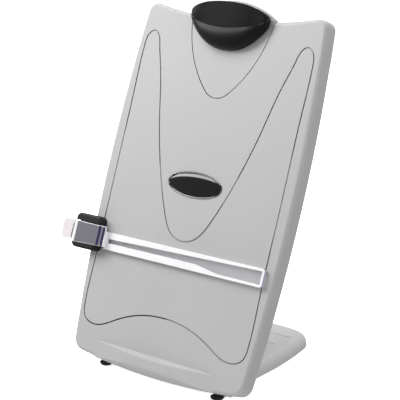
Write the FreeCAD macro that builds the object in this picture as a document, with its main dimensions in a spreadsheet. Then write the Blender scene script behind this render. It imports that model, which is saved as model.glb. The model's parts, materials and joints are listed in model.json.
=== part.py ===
import FreeCAD, Part
import math
import os
import Sketcher

# Copy holder with line guide.  A light grey board leans back on a tongue-shaped base, held by a prop
# that folds.  A dark slider on the board's left edge carries a clear line guide across the page, and a
# dark spring clip holds the page's top.
#
# X runs to the right of someone reading the page, Y away from them, Z up.  The origin is on the desk,
# under the base.
# Base frame: the same directions, with its origin on the desk straight below the tilt axis.
# Board frame: its origin is on the tilt axis, x to the right, y up the board, z out of its face.
# Slider frame: the board's frame, moved up to the slider's middle.
# Prop frame: its origin is on the prop's pivot, y down the prop's length.

DRIVING_SIZES = [
    # stance
    ("lean", 20, "board's angle from upright, degrees"),
    ("axis_front", 90, "tilt axis in front of the origin"),
    ("hinge_height", 14.2, "tilt axis above the desk"),
    ("face_out", 8, "board's face in front of the tilt axis"),
    # board shell
    ("panel_depth", 14, "board's depth, face to back rim"),
    ("belly_width", 216, "board's width at its widest"),
    ("belly_rise", 170, "widest place above the tilt axis"),
    ("head_width", 200, "width across the top corners"),
    ("foot_width", 198, "width across the bottom corners"),
    ("head_rise", 310, "middle of the top edge above the tilt axis"),
    ("head_dip", 11, "top corners above the middle of the top edge"),
    ("foot_drop", 10.9, "middle of the bottom edge below the tilt axis"),
    ("foot_bow", 6.6, "bottom corners above the middle of the bottom edge"),
    ("head_corner", 9, "radius of the top corners"),
    ("foot_corner", 12, "radius of the bottom corners"),
    ("skin", 2.5, "wall of the board's shell"),
    ("rim_round", 3.5, "rounding of the face's edge"),
    # ledge
    ("ledge_rise", 7.5, "page's bottom edge above the tilt axis"),
    ("ledge_width", 140, "width of the ledge"),
    ("ledge_out", 5, "ledge in front of the face, at the middle"),
    ("ledge_slope", 3.6, "height of the ledge's sloped top"),
    ("ledge_shin", 8, "ledge's upright front ends above the board's bottom edge"),
    ("ledge_heel_rise", 2.2, "middle of the ledge's rounded underside above that edge"),
    ("ledge_heel_in", 3, "middle of the ledge's rounded underside behind its front"),
    # engraved line
    ("line_width", 1.2, "width of the engraved line"),
    ("line_depth", 0.8, "depth of the engraved line"),
    ("line_margin", 12, "straight part of the line, in from the belly"),
    ("wave_high", 34.5, "middle of the line's wave above the ledge"),
    ("loop_drop", 16.5, "top of the line's loops below the board's top edge"),
    ("v_drop", 199, "tip of the line's V below the board's top edge"),
    # badge
    ("badge_width", 59, "oval badge, across"),
    ("badge_height", 20.6, "oval badge, up the board"),
    ("badge_rise", 161.6, "badge's middle above the tilt axis"),
    ("badge_sink", 1.0, "depth of the badge's seat"),
    ("badge_proud", 1.2, "badge's crown above the face"),
    ("badge_round", 1.1, "rounding of the badge's edge"),
    # back cover
    ("cover_thick", 2, "back cover's plate"),
    ("recess_wall", 1.6, "wall round the recess in the back"),
    ("nest_gap", 2.5, "room round the base and the prop when they are folded in"),
    ("fit_gap", 0.3, "clearance between pieces that fit together"),
    ("cover_screw_in", 12, "back cover's top screws inside the rail slot"),
    ("cover_screw_low_in", 7.5, "its lowest left screw inside the rail slot"),
    ("cover_screw_mid_in", 9.5, "its middle left screws inside the rail slot"),
    ("cover_screw_out", 4, "its right screws outside the rail slot's mirror image, at most"),
    ("boss_radius", 3.5, "screw boss"),
    ("screw_radius", 1.25, "self-tapping screw's shank"),
    ("screw_head_radius", 2.4, "screw's head"),
    ("screw_head", 1.5, "height of the screw's head"),
    ("screw_length", 8, "screw's shank length"),
    ("base_screw_length", 5.4, "shank length of the base's screws"),
    # tilt hinge
    ("pin_radius", 2.0, "tilt hinge pin"),
    ("run_gap", 0.05, "running clearance, on the radius"),
    ("knuckle_radius", 4.2, "hinge knuckles, outside"),
    ("block_in", 46, "hinge block's near side from the middle"),
    ("block_width", 10, "hinge block's width"),
    ("ear_width", 5.4, "base's ear beside the block"),
    ("side_gap", 0.6, "clearance beside a knuckle"),
    # base
    ("base_height", 12, "base plate's height"),
    ("base_front", 11.5, "base plate's front edge behind the tilt axis"),
    ("base_wing", 72, "half width of the base's front bar"),
    ("bar_length", 11, "length of the straight side of the front bar"),
    ("neck_half", 60.3, "half width of the base behind the bar"),
    ("waist_half", 57.2, "half width of the base at its waist"),
    ("waist_back", 90, "waist behind the tilt axis"),
    ("tail_half", 40, "half width of the base's tail, before rounding"),
    ("tail_back", 166, "tail's corners behind the tilt axis"),
    ("tail_bow", 5, "tail's middle behind its corners"),
    ("tail_corner", 22, "radius of the tail's corners"),
    ("base_round", 8.5, "rounding of the base's top edge"),
    ("neck_round", 6, "rounding where the base narrows"),
    ("base_wall", 2.5, "base plate's wall"),
    ("post_in", 8, "front screw posts in from the base's side"),
    ("post_back", 20, "front screw posts behind the base's front edge"),
    ("tail_post_in", 6, "rear screw posts in from the tail's corners"),
    ("tail_post_front", 22, "rear screw posts in front of the tail's corners"),
    ("base_cover_thick", 3, "cover under the base"),
    ("toe_half", 66, "feet's distance from the middle"),
    ("toe_width", 7, "toe that carries a foot"),
    ("foot_radius", 6, "rubber foot"),
    ("foot_height", 3.3, "rubber foot's height"),
    ("foot_round", 2.0, "rounding of the rubber foot's lower edge"),
    ("foot_back", 1.2, "rubber foot's middle behind the tilt axis"),
    ("foot_skin", 1, "rubber under the toe"),
    ("foot_roof", 0.8, "rubber over the toe"),
    ("toe_front", 2, "toe's tip in front of the foot's middle"),
    ("pad_radius", 7, "rubber pad under the tail"),
    ("pad_depth", 1.2, "depth of the rubber pad's seat"),
    # track for the prop
    ("track_half", 36, "half width of the track"),
    ("track_start", 62, "track's front end behind the tilt axis"),
    ("roof_end", 158, "thick roof's rear end behind the tilt axis; the track runs out over the tail"),
    ("track_depth", 1.1, "depth of the track"),
    ("track_floor", 3.0, "track's floor"),
    ("notch_pitch", 24, "distance between two settings"),
    ("notch_depth", 1.0, "depth of a setting's notch"),
    ("notch_half", 1.6, "half width of a setting's notch"),
    ("roof_beyond", 2, "thick roof beyond the track"),
    # prop
    ("prop_room", 18, "board's top edge above the folded prop"),
    ("prop_rise", 2, "prop's pivot in front of the tilt axis"),
    ("prop_half", 27, "half width of the prop"),
    ("prop_thick", 4, "prop's thickness"),
    ("prop_web", 2, "prop's web between its rails"),
    ("prop_rail", 6, "prop's rails"),
    ("prop_barrel", 3, "prop's barrel, outside radius"),
    ("prop_barrel_beyond", 2, "prop's barrel beyond its rails"),
    ("prop_pin_radius", 1.5, "prop's pivot pin"),
    ("prop_foot_radius", 3, "rubber bar at the prop's end"),
    ("prop_foot_half", 33, "half width of the rubber bar"),
    ("saddle_width", 4, "saddle that carries the pivot pin"),
    ("saddle_half", 6, "half length of the saddle, up the board"),
    # slider
    ("slider_rise", 100.4, "slider's middle above the tilt axis"),
    ("slider_half", 16, "half height of the slider"),
    ("slider_width", 30.5, "slider's width"),
    ("slider_beyond", 14, "slider's outer side beyond the belly"),
    ("slider_top", 9.5, "slider's cheeks above the face"),
    ("slider_corner", 5, "slider's corner radius"),
    ("slider_round", 2, "rounding of the slider's top edges"),
    ("edge_room", 1.2, "room between the belly and the slider"),
    ("arm_thick", 4.8, "slider's arm over the face"),
    ("well_drop", 2.2, "slider's floor under the guide's tab, below the arm's top"),
    ("hook_thick", 2.8, "slider's hook plate"),
    ("hook_round", 1, "rounding of the hook's back edges"),
    ("hook_beyond", 4, "hook's inner side beyond the rail slot's middle"),
    ("slider_screw_in", 5.5, "slider's screws in from its outer side"),
    ("slider_screw_end", 5, "slider's screws in from its ends"),
    ("felt_half", 6, "half length of the felt pad"),
    ("felt_near", 2, "felt pad's outer side inside the belly"),
    ("felt_far", 14, "felt pad's inner side inside the belly"),
    ("felt_thick", 2.2, "felt pad's thickness"),
    ("rail_inside", 18.5, "middle of the rail slot inside the belly"),
    ("rail_width", 3.4, "rail slot's width"),
    ("rail_low", 29, "rail slot's lower end"),
    ("rail_high", 285, "rail slot's upper end"),
    ("tongue_half", 8, "half length of the hook's tongue"),
    ("tongue_head", 1.6, "thickness of the tongue's head"),
    ("tongue_lip", 1.5, "tongue's head beyond its neck"),
    # line guide
    ("guide_pivot_beyond", 5, "guide's pivot beyond the belly"),
    ("guide_pivot_out", 7.6, "guide's pivot in front of the face"),
    ("guide_pin_radius", 1.0, "guide's pivot pin"),
    ("guide_barrel", 1.9, "guide's barrel, outside radius"),
    ("guide_pin_in", 3, "guide pin's ends in from the slider's ends"),
    ("guide_spring_length", 4.2, "length of the guide's spring"),
    ("guide_plate_thick", 1.8, "guide's plate over the slider"),
    ("guide_plate_low", 10.1, "guide plate's lower edge below the slider's middle"),
    ("guide_plate_high", 8.3, "guide plate's upper edge above the slider's middle"),
    ("guide_plate_inside", 24, "guide plate's inner end inside the belly"),
    ("guide_plate_beyond", 15.5, "guide plate's outer end beyond the belly"),
    ("guide_bar_low", 12.1, "bar's lower edge below the slider's middle"),
    ("guide_bar_height", 16, "bar's height up the board"),
    ("guide_bar_short", 10, "bar's free end inside the belly"),
    ("guide_bar_thick", 2.5, "bar's thickness at its edge ribs"),
    ("guide_web", 1.1, "bar's web between the ribs"),
    ("guide_bar_corner", 2.5, "corner radius of the bar's free end"),
    ("window_start", 2, "web's near end inside the step"),
    ("window_end", 2.5, "web's far end inside the bar's end"),
    ("window_narrow", 1.9, "web's half height beside the step"),
    ("window_wide", 5.8, "web's half height at the bar's end"),
    ("window_lean", 1.5, "drop of the web's upper edge where it narrows"),
    ("page_gap", 1.6, "room for the page under the bar"),
    ("tab_beyond", 30.5, "finger tab's end beyond the belly"),
    ("tab_drop", 1.4, "finger tab below the plate"),
    ("tab_corner", 5, "finger tab's corner radius"),
    # clip
    ("clip_rise", 308, "clip's axis above the tilt axis"),
    ("clip_out", 4.5, "clip's axis in front of the face"),
    ("clip_half", 44.6, "half width of the clip"),
    ("clip_low", 25.2, "clip's lower tip below its axis"),
    ("clip_high", 16.5, "clip's top above its axis"),
    ("clip_corner_rise", 3.6, "clip's side corners above its axis"),
    ("clip_crown", 13, "clip's ridge in front of the face"),
    ("clip_side", 5.2, "clip's side corners in front of the face"),
    ("clip_wall", 2.2, "clip's wall"),
    ("clip_tip_half", 9, "half width of the clip's lower tip"),
    ("clip_tip_rise", 1.2, "rise of that tip's curve"),
    ("clip_back", 1.2, "clip's back edge in front of the face"),
    ("clip_lip", 1.5, "height of the clip's lower lip"),
    ("clip_solid", 7, "solid part of the clip above its lower tip"),
    ("shoulder_rise", 3.5, "clip's shoulder above its lower tip"),
    ("bulge_rise", 11, "clip's bulge above its lower tip"),
    ("bulge_sink", 1.4, "clip's bulge below its ridge"),
    ("ridge_drop", 4.8, "clip's ridge below its axis"),
    ("scoop_start", 1, "scoop's near part above the clip's axis"),
    ("scoop_start_sink", 2.5, "scoop's near part below the ridge"),
    ("scoop_middle", 8, "scoop's middle above the clip's axis"),
    ("scoop_sink", 3.1, "scoop's middle below the ridge"),
    ("rim_sink", 0.8, "clip's upper rim below the ridge"),
    ("rim_lift", 4.3, "back of the clip's upper rim above its back edge"),
    ("vault_lift", 0.6, "top of the clip's vault above its ridge"),
    ("clip_pin_radius", 1.5, "clip's pin"),
    ("clip_leg_radius", 0.6, "wire of the clip spring's legs"),
    ("clip_ear_in", 15, "plate's ear from the middle"),
    ("clip_ear_width", 4, "plate's ears and the clip's ribs"),
    ("clip_ear_radius", 3.2, "ears and ribs round the pin"),
    ("grip_thick", 0.9, "clip's rubber strip"),
    ("grip_height", 5, "height of that strip"),
    ("lobe_half", 45.6, "half width of the clip plate's lobe"),
    ("lobe_high", 17.5, "lobe's top above the board's top edge"),
    ("lobe_thick", 5, "lobe's thickness"),
    ("plate_drop", 69.8, "clip plate's lower tip below the board's top edge"),
    ("plate_tip_half", 12, "half width of the clip plate's lower tip"),
    ("plate_tip_rise", 4.5, "rise of that tip's curve"),
    ("plate_side_rise", 33, "middle of the plate's bowed sides above its tip"),
    ("lobe_foot", 1, "lobe's straight sides start below the board's top edge"),
    ("lobe_side", 4, "and end above it"),
    ("seam", 0.8, "seam round the clip plate"),
    ("flange", 4, "clip plate's flange behind the skin"),
    ("flange_thick", 2, "thickness of that flange"),
]

doc = FreeCAD.newDocument("CopyHolder")
sheet = doc.addObject("Spreadsheet::Sheet", "sizes")
for row, (alias, value, note) in enumerate(DRIVING_SIZES, start=1):
    sheet.set(f"A{row}", alias)
    sheet.set(f"B{row}", str(value))
    sheet.set(f"C{row}", note)
    sheet.setAlias(f"B{row}", alias)
doc.recompute()


class Size:
    """A length or an angle: its value now, and the expression that ties it to the sheet."""

    def __init__(self, value, text):
        self.value = value
        self.text = text

    def __add__(self, other):
        return Size(self.value + number(other), f"({self.text} + {words(other)})")

    def __radd__(self, other):
        return Size(number(other) + self.value, f"({words(other)} + {self.text})")

    def __sub__(self, other):
        return Size(self.value - number(other), f"({self.text} - {words(other)})")

    def __rsub__(self, other):
        return Size(number(other) - self.value, f"({words(other)} - {self.text})")

    def __mul__(self, other):
        return Size(self.value * number(other), f"({self.text} * {words(other)})")

    __rmul__ = __mul__

    def __truediv__(self, other):
        return Size(self.value / number(other), f"({self.text} / {words(other)})")

    def __neg__(self):
        return Size(-self.value, f"(-1 * {self.text})")


def number(size):
    return size.value if isinstance(size, Size) else float(size)


def words(size):
    return size.text if isinstance(size, Size) else str(size)


def sine(angle):
    return Size(math.sin(math.radians(number(angle))), f"sin({words(angle)})")


def cosine(angle):
    return Size(math.cos(math.radians(number(angle))), f"cos({words(angle)})")


def slope_angle(rise, run):
    """The angle, in degrees, of a line that rises by rise over run."""
    degrees = math.degrees(math.atan(number(rise) / number(run)))
    return Size(degrees, f"(atan({words(rise)} / {words(run)}) / 1 deg)")


class Sheet:
    """Gives each alias of the sheet as a Size."""

    def __getattr__(self, alias):
        return Size(float(sheet.get(alias)), f"sizes.{alias}")


s = Sheet()
V = FreeCAD.Vector
BEYOND = 1      # a cutter reaches this far past what it cuts
OVERLAP = 0.5   # two features of one solid run this far into each other
TOUCH = 0.01    # an edge this near to a level lies on it

# sizes that follow from others: the prop just fits in the board's back, and the slider and the guide
# keep to the belly
BELLY = s.belly_width / 2
PROP_REACH = (s.head_rise - s.prop_room) / 2
SLIDER_LEFT = BELLY + s.slider_beyond
RAIL_IN = BELLY - s.rail_inside
GUIDE_PIVOT = BELLY + s.guide_pivot_beyond
GUIDE_PLATE_IN = BELLY - s.guide_plate_inside
GUIDE_PLATE_LEFT = BELLY + s.guide_plate_beyond
GUIDE_BAR_END = BELLY - s.guide_bar_short
TAB_LEFT = BELLY + s.tab_beyond


# ---------------------------------------------------------------- frames

class Frame:
    """A frame whose X axis is the desk frame's: its origin's Y and Z, and its turn about X."""

    def __init__(self, y, z, turn):
        self.y, self.z, self.turn = y, z, turn

    def placement(self):
        rotation = FreeCAD.Rotation(V(1, 0, 0), number(self.turn))
        return FreeCAD.Placement(V(0, number(self.y), number(self.z)), rotation)

    def hold(self, thing):
        thing.Placement = self.placement()
        bind(thing, ".Placement.Base.y", self.y)
        bind(thing, ".Placement.Base.z", self.z)
        bind(thing, ".Placement.Rotation.Angle", self.turn)


def bind(thing, path, size):
    if isinstance(size, Size):
        thing.setExpression(path, size.text)
    elif not path.startswith("."):
        setattr(thing, path, size)


def on_board(up, out=0):
    """The board's frame, moved up the board and out of its face."""
    y = up * sine(s.lean) - out * cosine(s.lean) - s.axis_front
    z = s.hinge_height + up * cosine(s.lean) + out * sine(s.lean)
    return Frame(y, z, 90 - s.lean)


BASE = Frame(-1 * s.axis_front, 0, 0)
BOARD = on_board(0)
SLIDER = on_board(s.slider_rise)
PROP = on_board(PROP_REACH, s.prop_rise)
PROP.turn = -1 * (90 - s.lean + slope_angle(s.prop_rise, PROP_REACH))


# ---------------------------------------------------------------- drawing helpers

def new_body(label, frame=BASE):
    body = doc.addObject("PartDesign::Body", label)
    body.Label = label
    frame.hold(body)
    return body


def origin_of(body, role):
    return [item for item in body.Origin.OriginFeatures if item.Role == role][0]


def new_sketch(body, height=0, plane="XY_Plane"):
    """A sketch on one of the body's origin planes, moved along the plane's normal."""
    sketch = body.newObject("Sketcher::SketchObject", "Sketch")
    sketch.AttachmentSupport = [(origin_of(body, plane), "")]
    sketch.MapMode = "FlatFace"
    if isinstance(height, Size):
        sketch.setExpression(".AttachmentOffset.Base.z", height.text)
    else:
        sketch.AttachmentOffset = FreeCAD.Placement(V(0, 0, height), FreeCAD.Rotation())
    return sketch


def dimension(sketch, kind, items, size):
    index = sketch.addConstraint(Sketcher.Constraint(kind, *items, number(size)))
    if isinstance(size, Size):
        sketch.setExpression(f"Constraints[{index}]", size.text)


def locate(sketch, geometry, position, point):
    dimension(sketch, "DistanceX", (-1, 1, geometry, position), point[0])
    dimension(sketch, "DistanceY", (-1, 1, geometry, position), point[1])


def flat(point):
    return V(number(point[0]), number(point[1]), 0)


def draw_outline(sketch, corners, bulges=None):
    """A closed outline through the corners; bulges gives the middle of each side that is an arc."""
    bulges = bulges or {}
    sides = []
    for index, start in enumerate(corners):
        end = corners[(index + 1) % len(corners)]
        if index not in bulges:
            side = sketch.addGeometry(Part.LineSegment(flat(start), flat(end)))
            sides.append((side, 1, 2))
            continue
        first, middle, last = flat(start), flat(bulges[index]), flat(end)
        turns_left = (middle - first).cross(last - middle).z > 0
        if turns_left:
            sides.append((sketch.addGeometry(Part.Arc(first, middle, last)), 1, 2))
        else:
            sides.append((sketch.addGeometry(Part.Arc(last, middle, first)), 2, 1))
        through = sketch.addGeometry(Part.Point(middle), True)
        sketch.addConstraint(Sketcher.Constraint("PointOnObject", through, 1, sides[-1][0]))
        locate(sketch, through, 1, bulges[index])
    for index, corner in enumerate(corners):
        side, begins, _ = sides[index]
        before, _, ends = sides[index - 1]
        sketch.addConstraint(Sketcher.Constraint("Coincident", side, begins, before, ends))
        locate(sketch, side, begins, corner)


def draw_box(sketch, x_low, y_low, x_high, y_high):
    draw_outline(sketch, [(x_low, y_low), (x_high, y_low), (x_high, y_high), (x_low, y_high)])


def draw_circle(sketch, x, y, radius):
    circle = sketch.addGeometry(Part.Circle(flat((x, y)), V(0, 0, 1), number(radius)))
    locate(sketch, circle, 3, (x, y))
    dimension(sketch, "Radius", (circle,), radius)


def mirrored(points):
    """The right half's points, then their mirror images in the other order."""
    return points + [(-1 * x, y) for x, y in reversed(points)]


def extrude(body, kind, sketch, length, backwards=False, both_ways=False):
    feature = body.newObject(f"PartDesign::{kind}", kind)
    feature.Profile = sketch
    feature.Type = 0
    bind(feature, "Length", length)
    feature.Reversed = backwards
    feature.Midplane = both_ways
    return feature


def pad(body, sketch, length, **how):
    return extrude(body, "Pad", sketch, length, **how)


def pocket(body, sketch, length, **how):
    """Cuts along the sketch's normal; backwards=True cuts against it."""
    how["backwards"] = not how.get("backwards", False)
    return extrude(body, "Pocket", sketch, length, **how)


def edges_where(shape, test):
    return [f"Edge{i}" for i, edge in enumerate(shape.Edges, start=1) if test(edge)]


def along(edge, direction):
    return abs(edge.tangentAt(edge.FirstParameter).dot(direction)) > 0.999


def round_edges(body, radius, test):
    doc.recompute()
    base = body.Tip
    feature = body.newObject("PartDesign::Fillet", "Fillet")
    feature.Base = (base, edges_where(base.Shape, test))
    bind(feature, "Radius", radius)
    return feature


def hollow(body, wall, test):
    """Turns the solid into a shell of the given wall, open at the faces that pass the test."""
    doc.recompute()
    base = body.Tip
    open_faces = [f"Face{i}" for i, face in enumerate(base.Shape.Faces, start=1) if test(face)]
    feature = body.newObject("PartDesign::Thickness", "Thickness")
    feature.Base = (base, open_faces)
    bind(feature, "Value", wall)
    feature.Reversed = True
    return feature


def joined(label, base, others):
    feature = doc.addObject("Part::MultiFuse", label)
    feature.Shapes = [base] + others
    feature.Label = label
    return feature


def without(label, base, tool):
    feature = doc.addObject("Part::Cut", label)
    feature.Base = base
    feature.Tool = tool
    feature.Label = label
    return feature


def common(label, shapes):
    feature = doc.addObject("Part::MultiCommon", label)
    feature.Shapes = shapes
    return feature


def solid(label, shape, frame=BASE):
    """A solid made with Part's own functions, in the frame it is drawn in."""
    feature = doc.addObject("Part::Feature", label)
    feature.Shape = shape
    feature.Placement = frame.placement()
    feature.Label = label
    return feature


def rod(radius, start, end):
    """A round bar from one point to another."""
    first, last = (V(*[number(value) for value in point]) for point in (start, end))
    return Part.makeCylinder(number(radius), (last - first).Length, first, last - first)


def block(low, high):
    first, last = (V(*[number(value) for value in corner]) for corner in (low, high))
    size = last - first
    return Part.makeBox(size.x, size.y, size.z, first)


def screw(x, y, seat, direction, length=s.screw_length):
    """A pan-head screw whose head sits on the seat and whose shank goes the given way along z."""
    seat, reach, head = number(seat), number(length), number(s.screw_head)
    shank = rod(s.screw_radius, (x, y, seat), (x, y, seat + direction * reach))
    cap = rod(s.screw_head_radius, (x, y, seat), (x, y, seat - direction * head))
    return shank.fuse(cap)


# ---------------------------------------------------------------- shared outlines and levels

BACK = s.face_out - s.panel_depth
INNER_FACE = s.face_out - s.skin
COVER_INNER = BACK + s.cover_thick


# where an outline's sides aren't square to each other, a corner moves by its own shares of the inset
FOOT_SHARES = (0.89, 0.86)
HEAD_SHARES = (0.87, 1.22)
BAR_SHARE = 0.4
PLATE_SHARES = (0.8, 0.7)
PLATE_SIDE_SHARES = (0.9, 0.4)
CLIP_SIDE_SHARES = (0.8, 0.6)

# the middle of a bowed side: of the clip plate, as a share of its half width, and of the clip, as shares
# of its half width and of its depth below the axis
PLATE_SIDE = 0.75
CLIP_SIDE = (0.68, 0.58)


def panel_outline(inset=0):
    """The board's barrel outline in the board frame, moved in by inset."""
    foot = (s.foot_width / 2 - FOOT_SHARES[0] * inset, s.foot_bow - s.foot_drop + FOOT_SHARES[1] * inset)
    head = (s.head_width / 2 - HEAD_SHARES[0] * inset, s.head_rise + s.head_dip - HEAD_SHARES[1] * inset)
    left_head, left_foot = (-1 * head[0], head[1]), (-1 * foot[0], foot[1])
    belly = s.belly_width / 2 - inset
    bulges = {
        0: (0, inset - s.foot_drop),
        1: (belly, s.belly_rise),
        2: (0, s.head_rise - inset),
        3: (-1 * belly, s.belly_rise),
    }
    return [left_foot, foot, head, left_head], bulges


def base_outline(inset=0):
    """The base's tongue outline on the desk, moved in by inset."""
    right = [
        (s.base_wing - inset, s.base_front + inset),
        (s.base_wing - inset, s.base_front + s.bar_length - BAR_SHARE * inset),
        (s.neck_half - inset, s.base_front + 2 * s.bar_length - BAR_SHARE * inset),
        (s.tail_half - inset, s.tail_back - inset),
    ]
    bulges = {
        2: (s.waist_half - inset, s.waist_back),
        3: (0, s.tail_back + s.tail_bow - inset),
        4: (inset - s.waist_half, s.waist_back),
    }
    return mirrored(right), bulges


def plate_outline(grow=0):
    """The clip plate's outline: a V below the board's top edge and a round lobe above it."""
    low = s.head_rise - s.plate_drop
    right = [
        (s.plate_tip_half + PLATE_SHARES[0] * grow, low + s.plate_tip_rise - PLATE_SHARES[1] * grow),
        (s.lobe_half + grow, s.head_rise - s.lobe_foot),
        (s.lobe_half + grow, s.head_rise + s.lobe_side),
    ]
    side_x = PLATE_SIDE * s.lobe_half + PLATE_SIDE_SHARES[0] * grow
    side_y = low + s.plate_side_rise - PLATE_SIDE_SHARES[1] * grow
    bulges = {
        0: (side_x, side_y),
        2: (0, s.head_rise + s.lobe_high + grow),
        4: (-1 * side_x, side_y),
        5: (0, low - grow),
    }
    return mirrored(right), bulges


def clip_outline(inset=0):
    """The clip's boat-shaped outline in the board frame, moved in by inset."""
    right = [
        (s.clip_tip_half, s.clip_rise - s.clip_low + s.clip_tip_rise + inset),
        (s.clip_half - inset, s.clip_rise + s.clip_corner_rise),
    ]
    side_x = CLIP_SIDE[0] * s.clip_half - CLIP_SIDE_SHARES[0] * inset
    side_y = s.clip_rise - CLIP_SIDE[1] * s.clip_low + CLIP_SIDE_SHARES[1] * inset
    bulges = {
        0: (side_x, side_y),
        1: (0, s.clip_rise + s.clip_high - inset),
        2: (-1 * side_x, side_y),
        3: (0, s.clip_rise - s.clip_low + inset),
    }
    return mirrored(right), bulges


# ---------------------------------------------------------------- board: front panel

panel_shell = new_body("panel_shell", BOARD)
outline = new_sketch(panel_shell, BACK)
draw_outline(outline, *panel_outline())
pad(panel_shell, outline, s.panel_depth)
inside = new_sketch(panel_shell, BACK)
draw_outline(inside, *panel_outline(s.skin))
pocket(panel_shell, inside, s.panel_depth - s.skin)
half_way = number(s.belly_rise)


def upright(edge):
    return along(edge, V(0, 0, 1))


def ends_at(edge, level):
    """True for an edge along z that ends at the given level."""
    return upright(edge) and abs(edge.BoundBox.ZMax - number(level)) < TOUCH


def in_head(edge):
    return edge.BoundBox.YMin > half_way


def in_foot(edge):
    return edge.BoundBox.YMax < half_way


def above(edge, level):
    return edge.BoundBox.ZMin > number(level) - TOUCH


for level, inset in ((s.face_out, 0), (INNER_FACE, s.skin)):
    round_edges(panel_shell, s.head_corner - inset, lambda e: ends_at(e, level) and in_head(e))
    round_edges(panel_shell, s.foot_corner - inset, lambda e: ends_at(e, level) and in_foot(e))
round_edges(panel_shell, s.rim_round, lambda e: above(e, s.face_out))

# bosses for the back cover's screws, clear of the rail slot on the left
SCREW_HEIGHTS = [s.foot_corner, 0.65 * s.belly_rise, 1.3 * s.belly_rise, s.head_rise - s.head_corner]
RIGHT_INSETS = [s.cover_screw_out / 4, -1 * s.cover_screw_out, s.cover_screw_out / -2, s.cover_screw_in]
LEFT_INSETS = [s.cover_screw_low_in, s.cover_screw_mid_in, s.cover_screw_mid_in, s.cover_screw_in]
COVER_SCREWS = [(RAIL_IN - inset, y) for inset, y in zip(RIGHT_INSETS, SCREW_HEIGHTS)]
COVER_SCREWS += [(inset - RAIL_IN, y) for inset, y in zip(LEFT_INSETS, SCREW_HEIGHTS)]
bosses = new_sketch(panel_shell, COVER_INNER)
for x, y in COVER_SCREWS:
    draw_circle(bosses, x, y, s.boss_radius)
    draw_circle(bosses, x, y, s.screw_radius)
pad(panel_shell, bosses, INNER_FACE - COVER_INNER)

# saddles that carry the prop's pin
saddle_near = s.prop_half + s.prop_barrel_beyond + s.side_gap
for side in (1, -1):
    near = saddle_near if side > 0 else -1 * (saddle_near + s.saddle_width)
    saddle = new_sketch(panel_shell, near, "YZ_Plane")
    saddle_low = s.prop_rise - s.prop_barrel - s.fit_gap
    draw_box(saddle, PROP_REACH - s.saddle_half, saddle_low, PROP_REACH + s.saddle_half, INNER_FACE)
    draw_circle(saddle, PROP_REACH, s.prop_rise, s.prop_pin_radius)
    pad(panel_shell, saddle, s.saddle_width)

# seat for the badge
seat_middle = V(0, number(s.badge_rise), number(s.face_out - s.badge_sink))
seat_half_width = number(s.badge_width / 2 + s.fit_gap)
seat_half_height = number(s.badge_height / 2 + s.fit_gap)
seat_oval = Part.Ellipse(seat_middle, seat_half_width, seat_half_height).toShape()
seat_cutter = Part.Face(Part.Wire(seat_oval)).extrude(V(0, 0, number(s.badge_sink) + BEYOND))
badge_seat = solid("badge_seat", seat_cutter, BOARD)

# ledge: a lip whose front is one wide cylinder, so that it is deepest in the middle and fades out
# towards its ends
lip_slab = new_body("lip_slab", BOARD)
slab_outline = new_sketch(lip_slab, INNER_FACE)
draw_outline(slab_outline, *panel_outline())
pad(lip_slab, slab_outline, s.skin + s.ledge_out)
round_edges(lip_slab, s.foot_corner, lambda e: upright(e) and in_foot(e))


def ledge_barrel():
    half, deep = number(s.ledge_width) / 2, number(s.ledge_out)
    radius = (half * half + deep * deep) / (2 * deep)
    axis_out = number(s.face_out) + deep - radius
    return rod(radius, (0, -number(s.head_rise), axis_out), (0, number(s.head_rise), axis_out))


def ledge_wedge():
    """The ledge's straight sloped top, with all that lies below it."""
    top, face, out = number(s.ledge_rise), number(s.face_out), number(s.ledge_out)
    half, low, inner = number(s.ledge_width) / 2, -2 * number(s.foot_drop), number(INNER_FACE)
    nose = top - number(s.ledge_slope)
    points = [V(-half, top, inner), V(-half, top, face), V(-half, nose, face + out),
              V(-half, low, face + out), V(-half, low, inner)]
    return Part.Face(Part.makePolygon(points + points[:1])).extrude(V(2 * half, 0, 0))


def ledge_underside():
    """A round that runs back under the ledge and follows the bow of the board's bottom edge."""
    half, bow = number(s.foot_width) / 2, number(s.foot_bow)
    bow_radius = (half * half + bow * bow) / (2 * bow)
    low, front, inner = -number(s.foot_drop), number(s.face_out + s.ledge_out), number(INNER_FACE)
    shin = V(0, low + number(s.ledge_shin), front)
    heel = V(0, low + number(s.ledge_heel_rise), front - number(s.ledge_heel_in))
    sole = V(0, low - BEYOND, inner)
    edges = [Part.Arc(shin, heel, sole).toShape()]
    corners = [sole, V(0, half, inner), V(0, half, front), shin]
    edges += [Part.LineSegment(a, b).toShape() for a, b in zip(corners, corners[1:])]
    centre, turn_axis, turn = V(0, bow_radius + low, 0), V(0, 0, 1), math.degrees(half / bow_radius)
    section = Part.Face(Part.Wire(edges))
    section.rotate(centre, turn_axis, -turn)
    return section.revolve(centre, turn_axis, 2 * turn)


lip_form = solid("lip_form", ledge_wedge().common(ledge_barrel()).common(ledge_underside()), BOARD)
lip = common("lip", [lip_slab, lip_form])


# engraved line: one closed contour, with two tall loops joined by a deep V and by a wave at the foot
# each point: its share of the way out to the straight part, what its height is counted from, and its
# share of that height
ENGRAVED_POINTS = [
    (0, "wave", 1), (0.286, "wave", 0.916), (0.563, "wave", 0.638), (0.844, "wave", 0.377),
    (0.963, "wave", 0.522), (1, "wave", 0.9), (1, "wave", 2.03),
    (1, "loop", 9.09), (1, "loop", 4.24), (1, "loop", 1.82), (0.971, "loop", 1.21),
    (0.901, "loop", 1), (0.839, "loop", 1.303), (0.807, "loop", 1.82),
    (0.732, "v", 0.254), (0.609, "v", 0.471), (0.467, "v", 0.683), (0.281, "v", 0.889),
    (0.122, "v", 0.985), (0, "v", 1),
]


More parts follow.
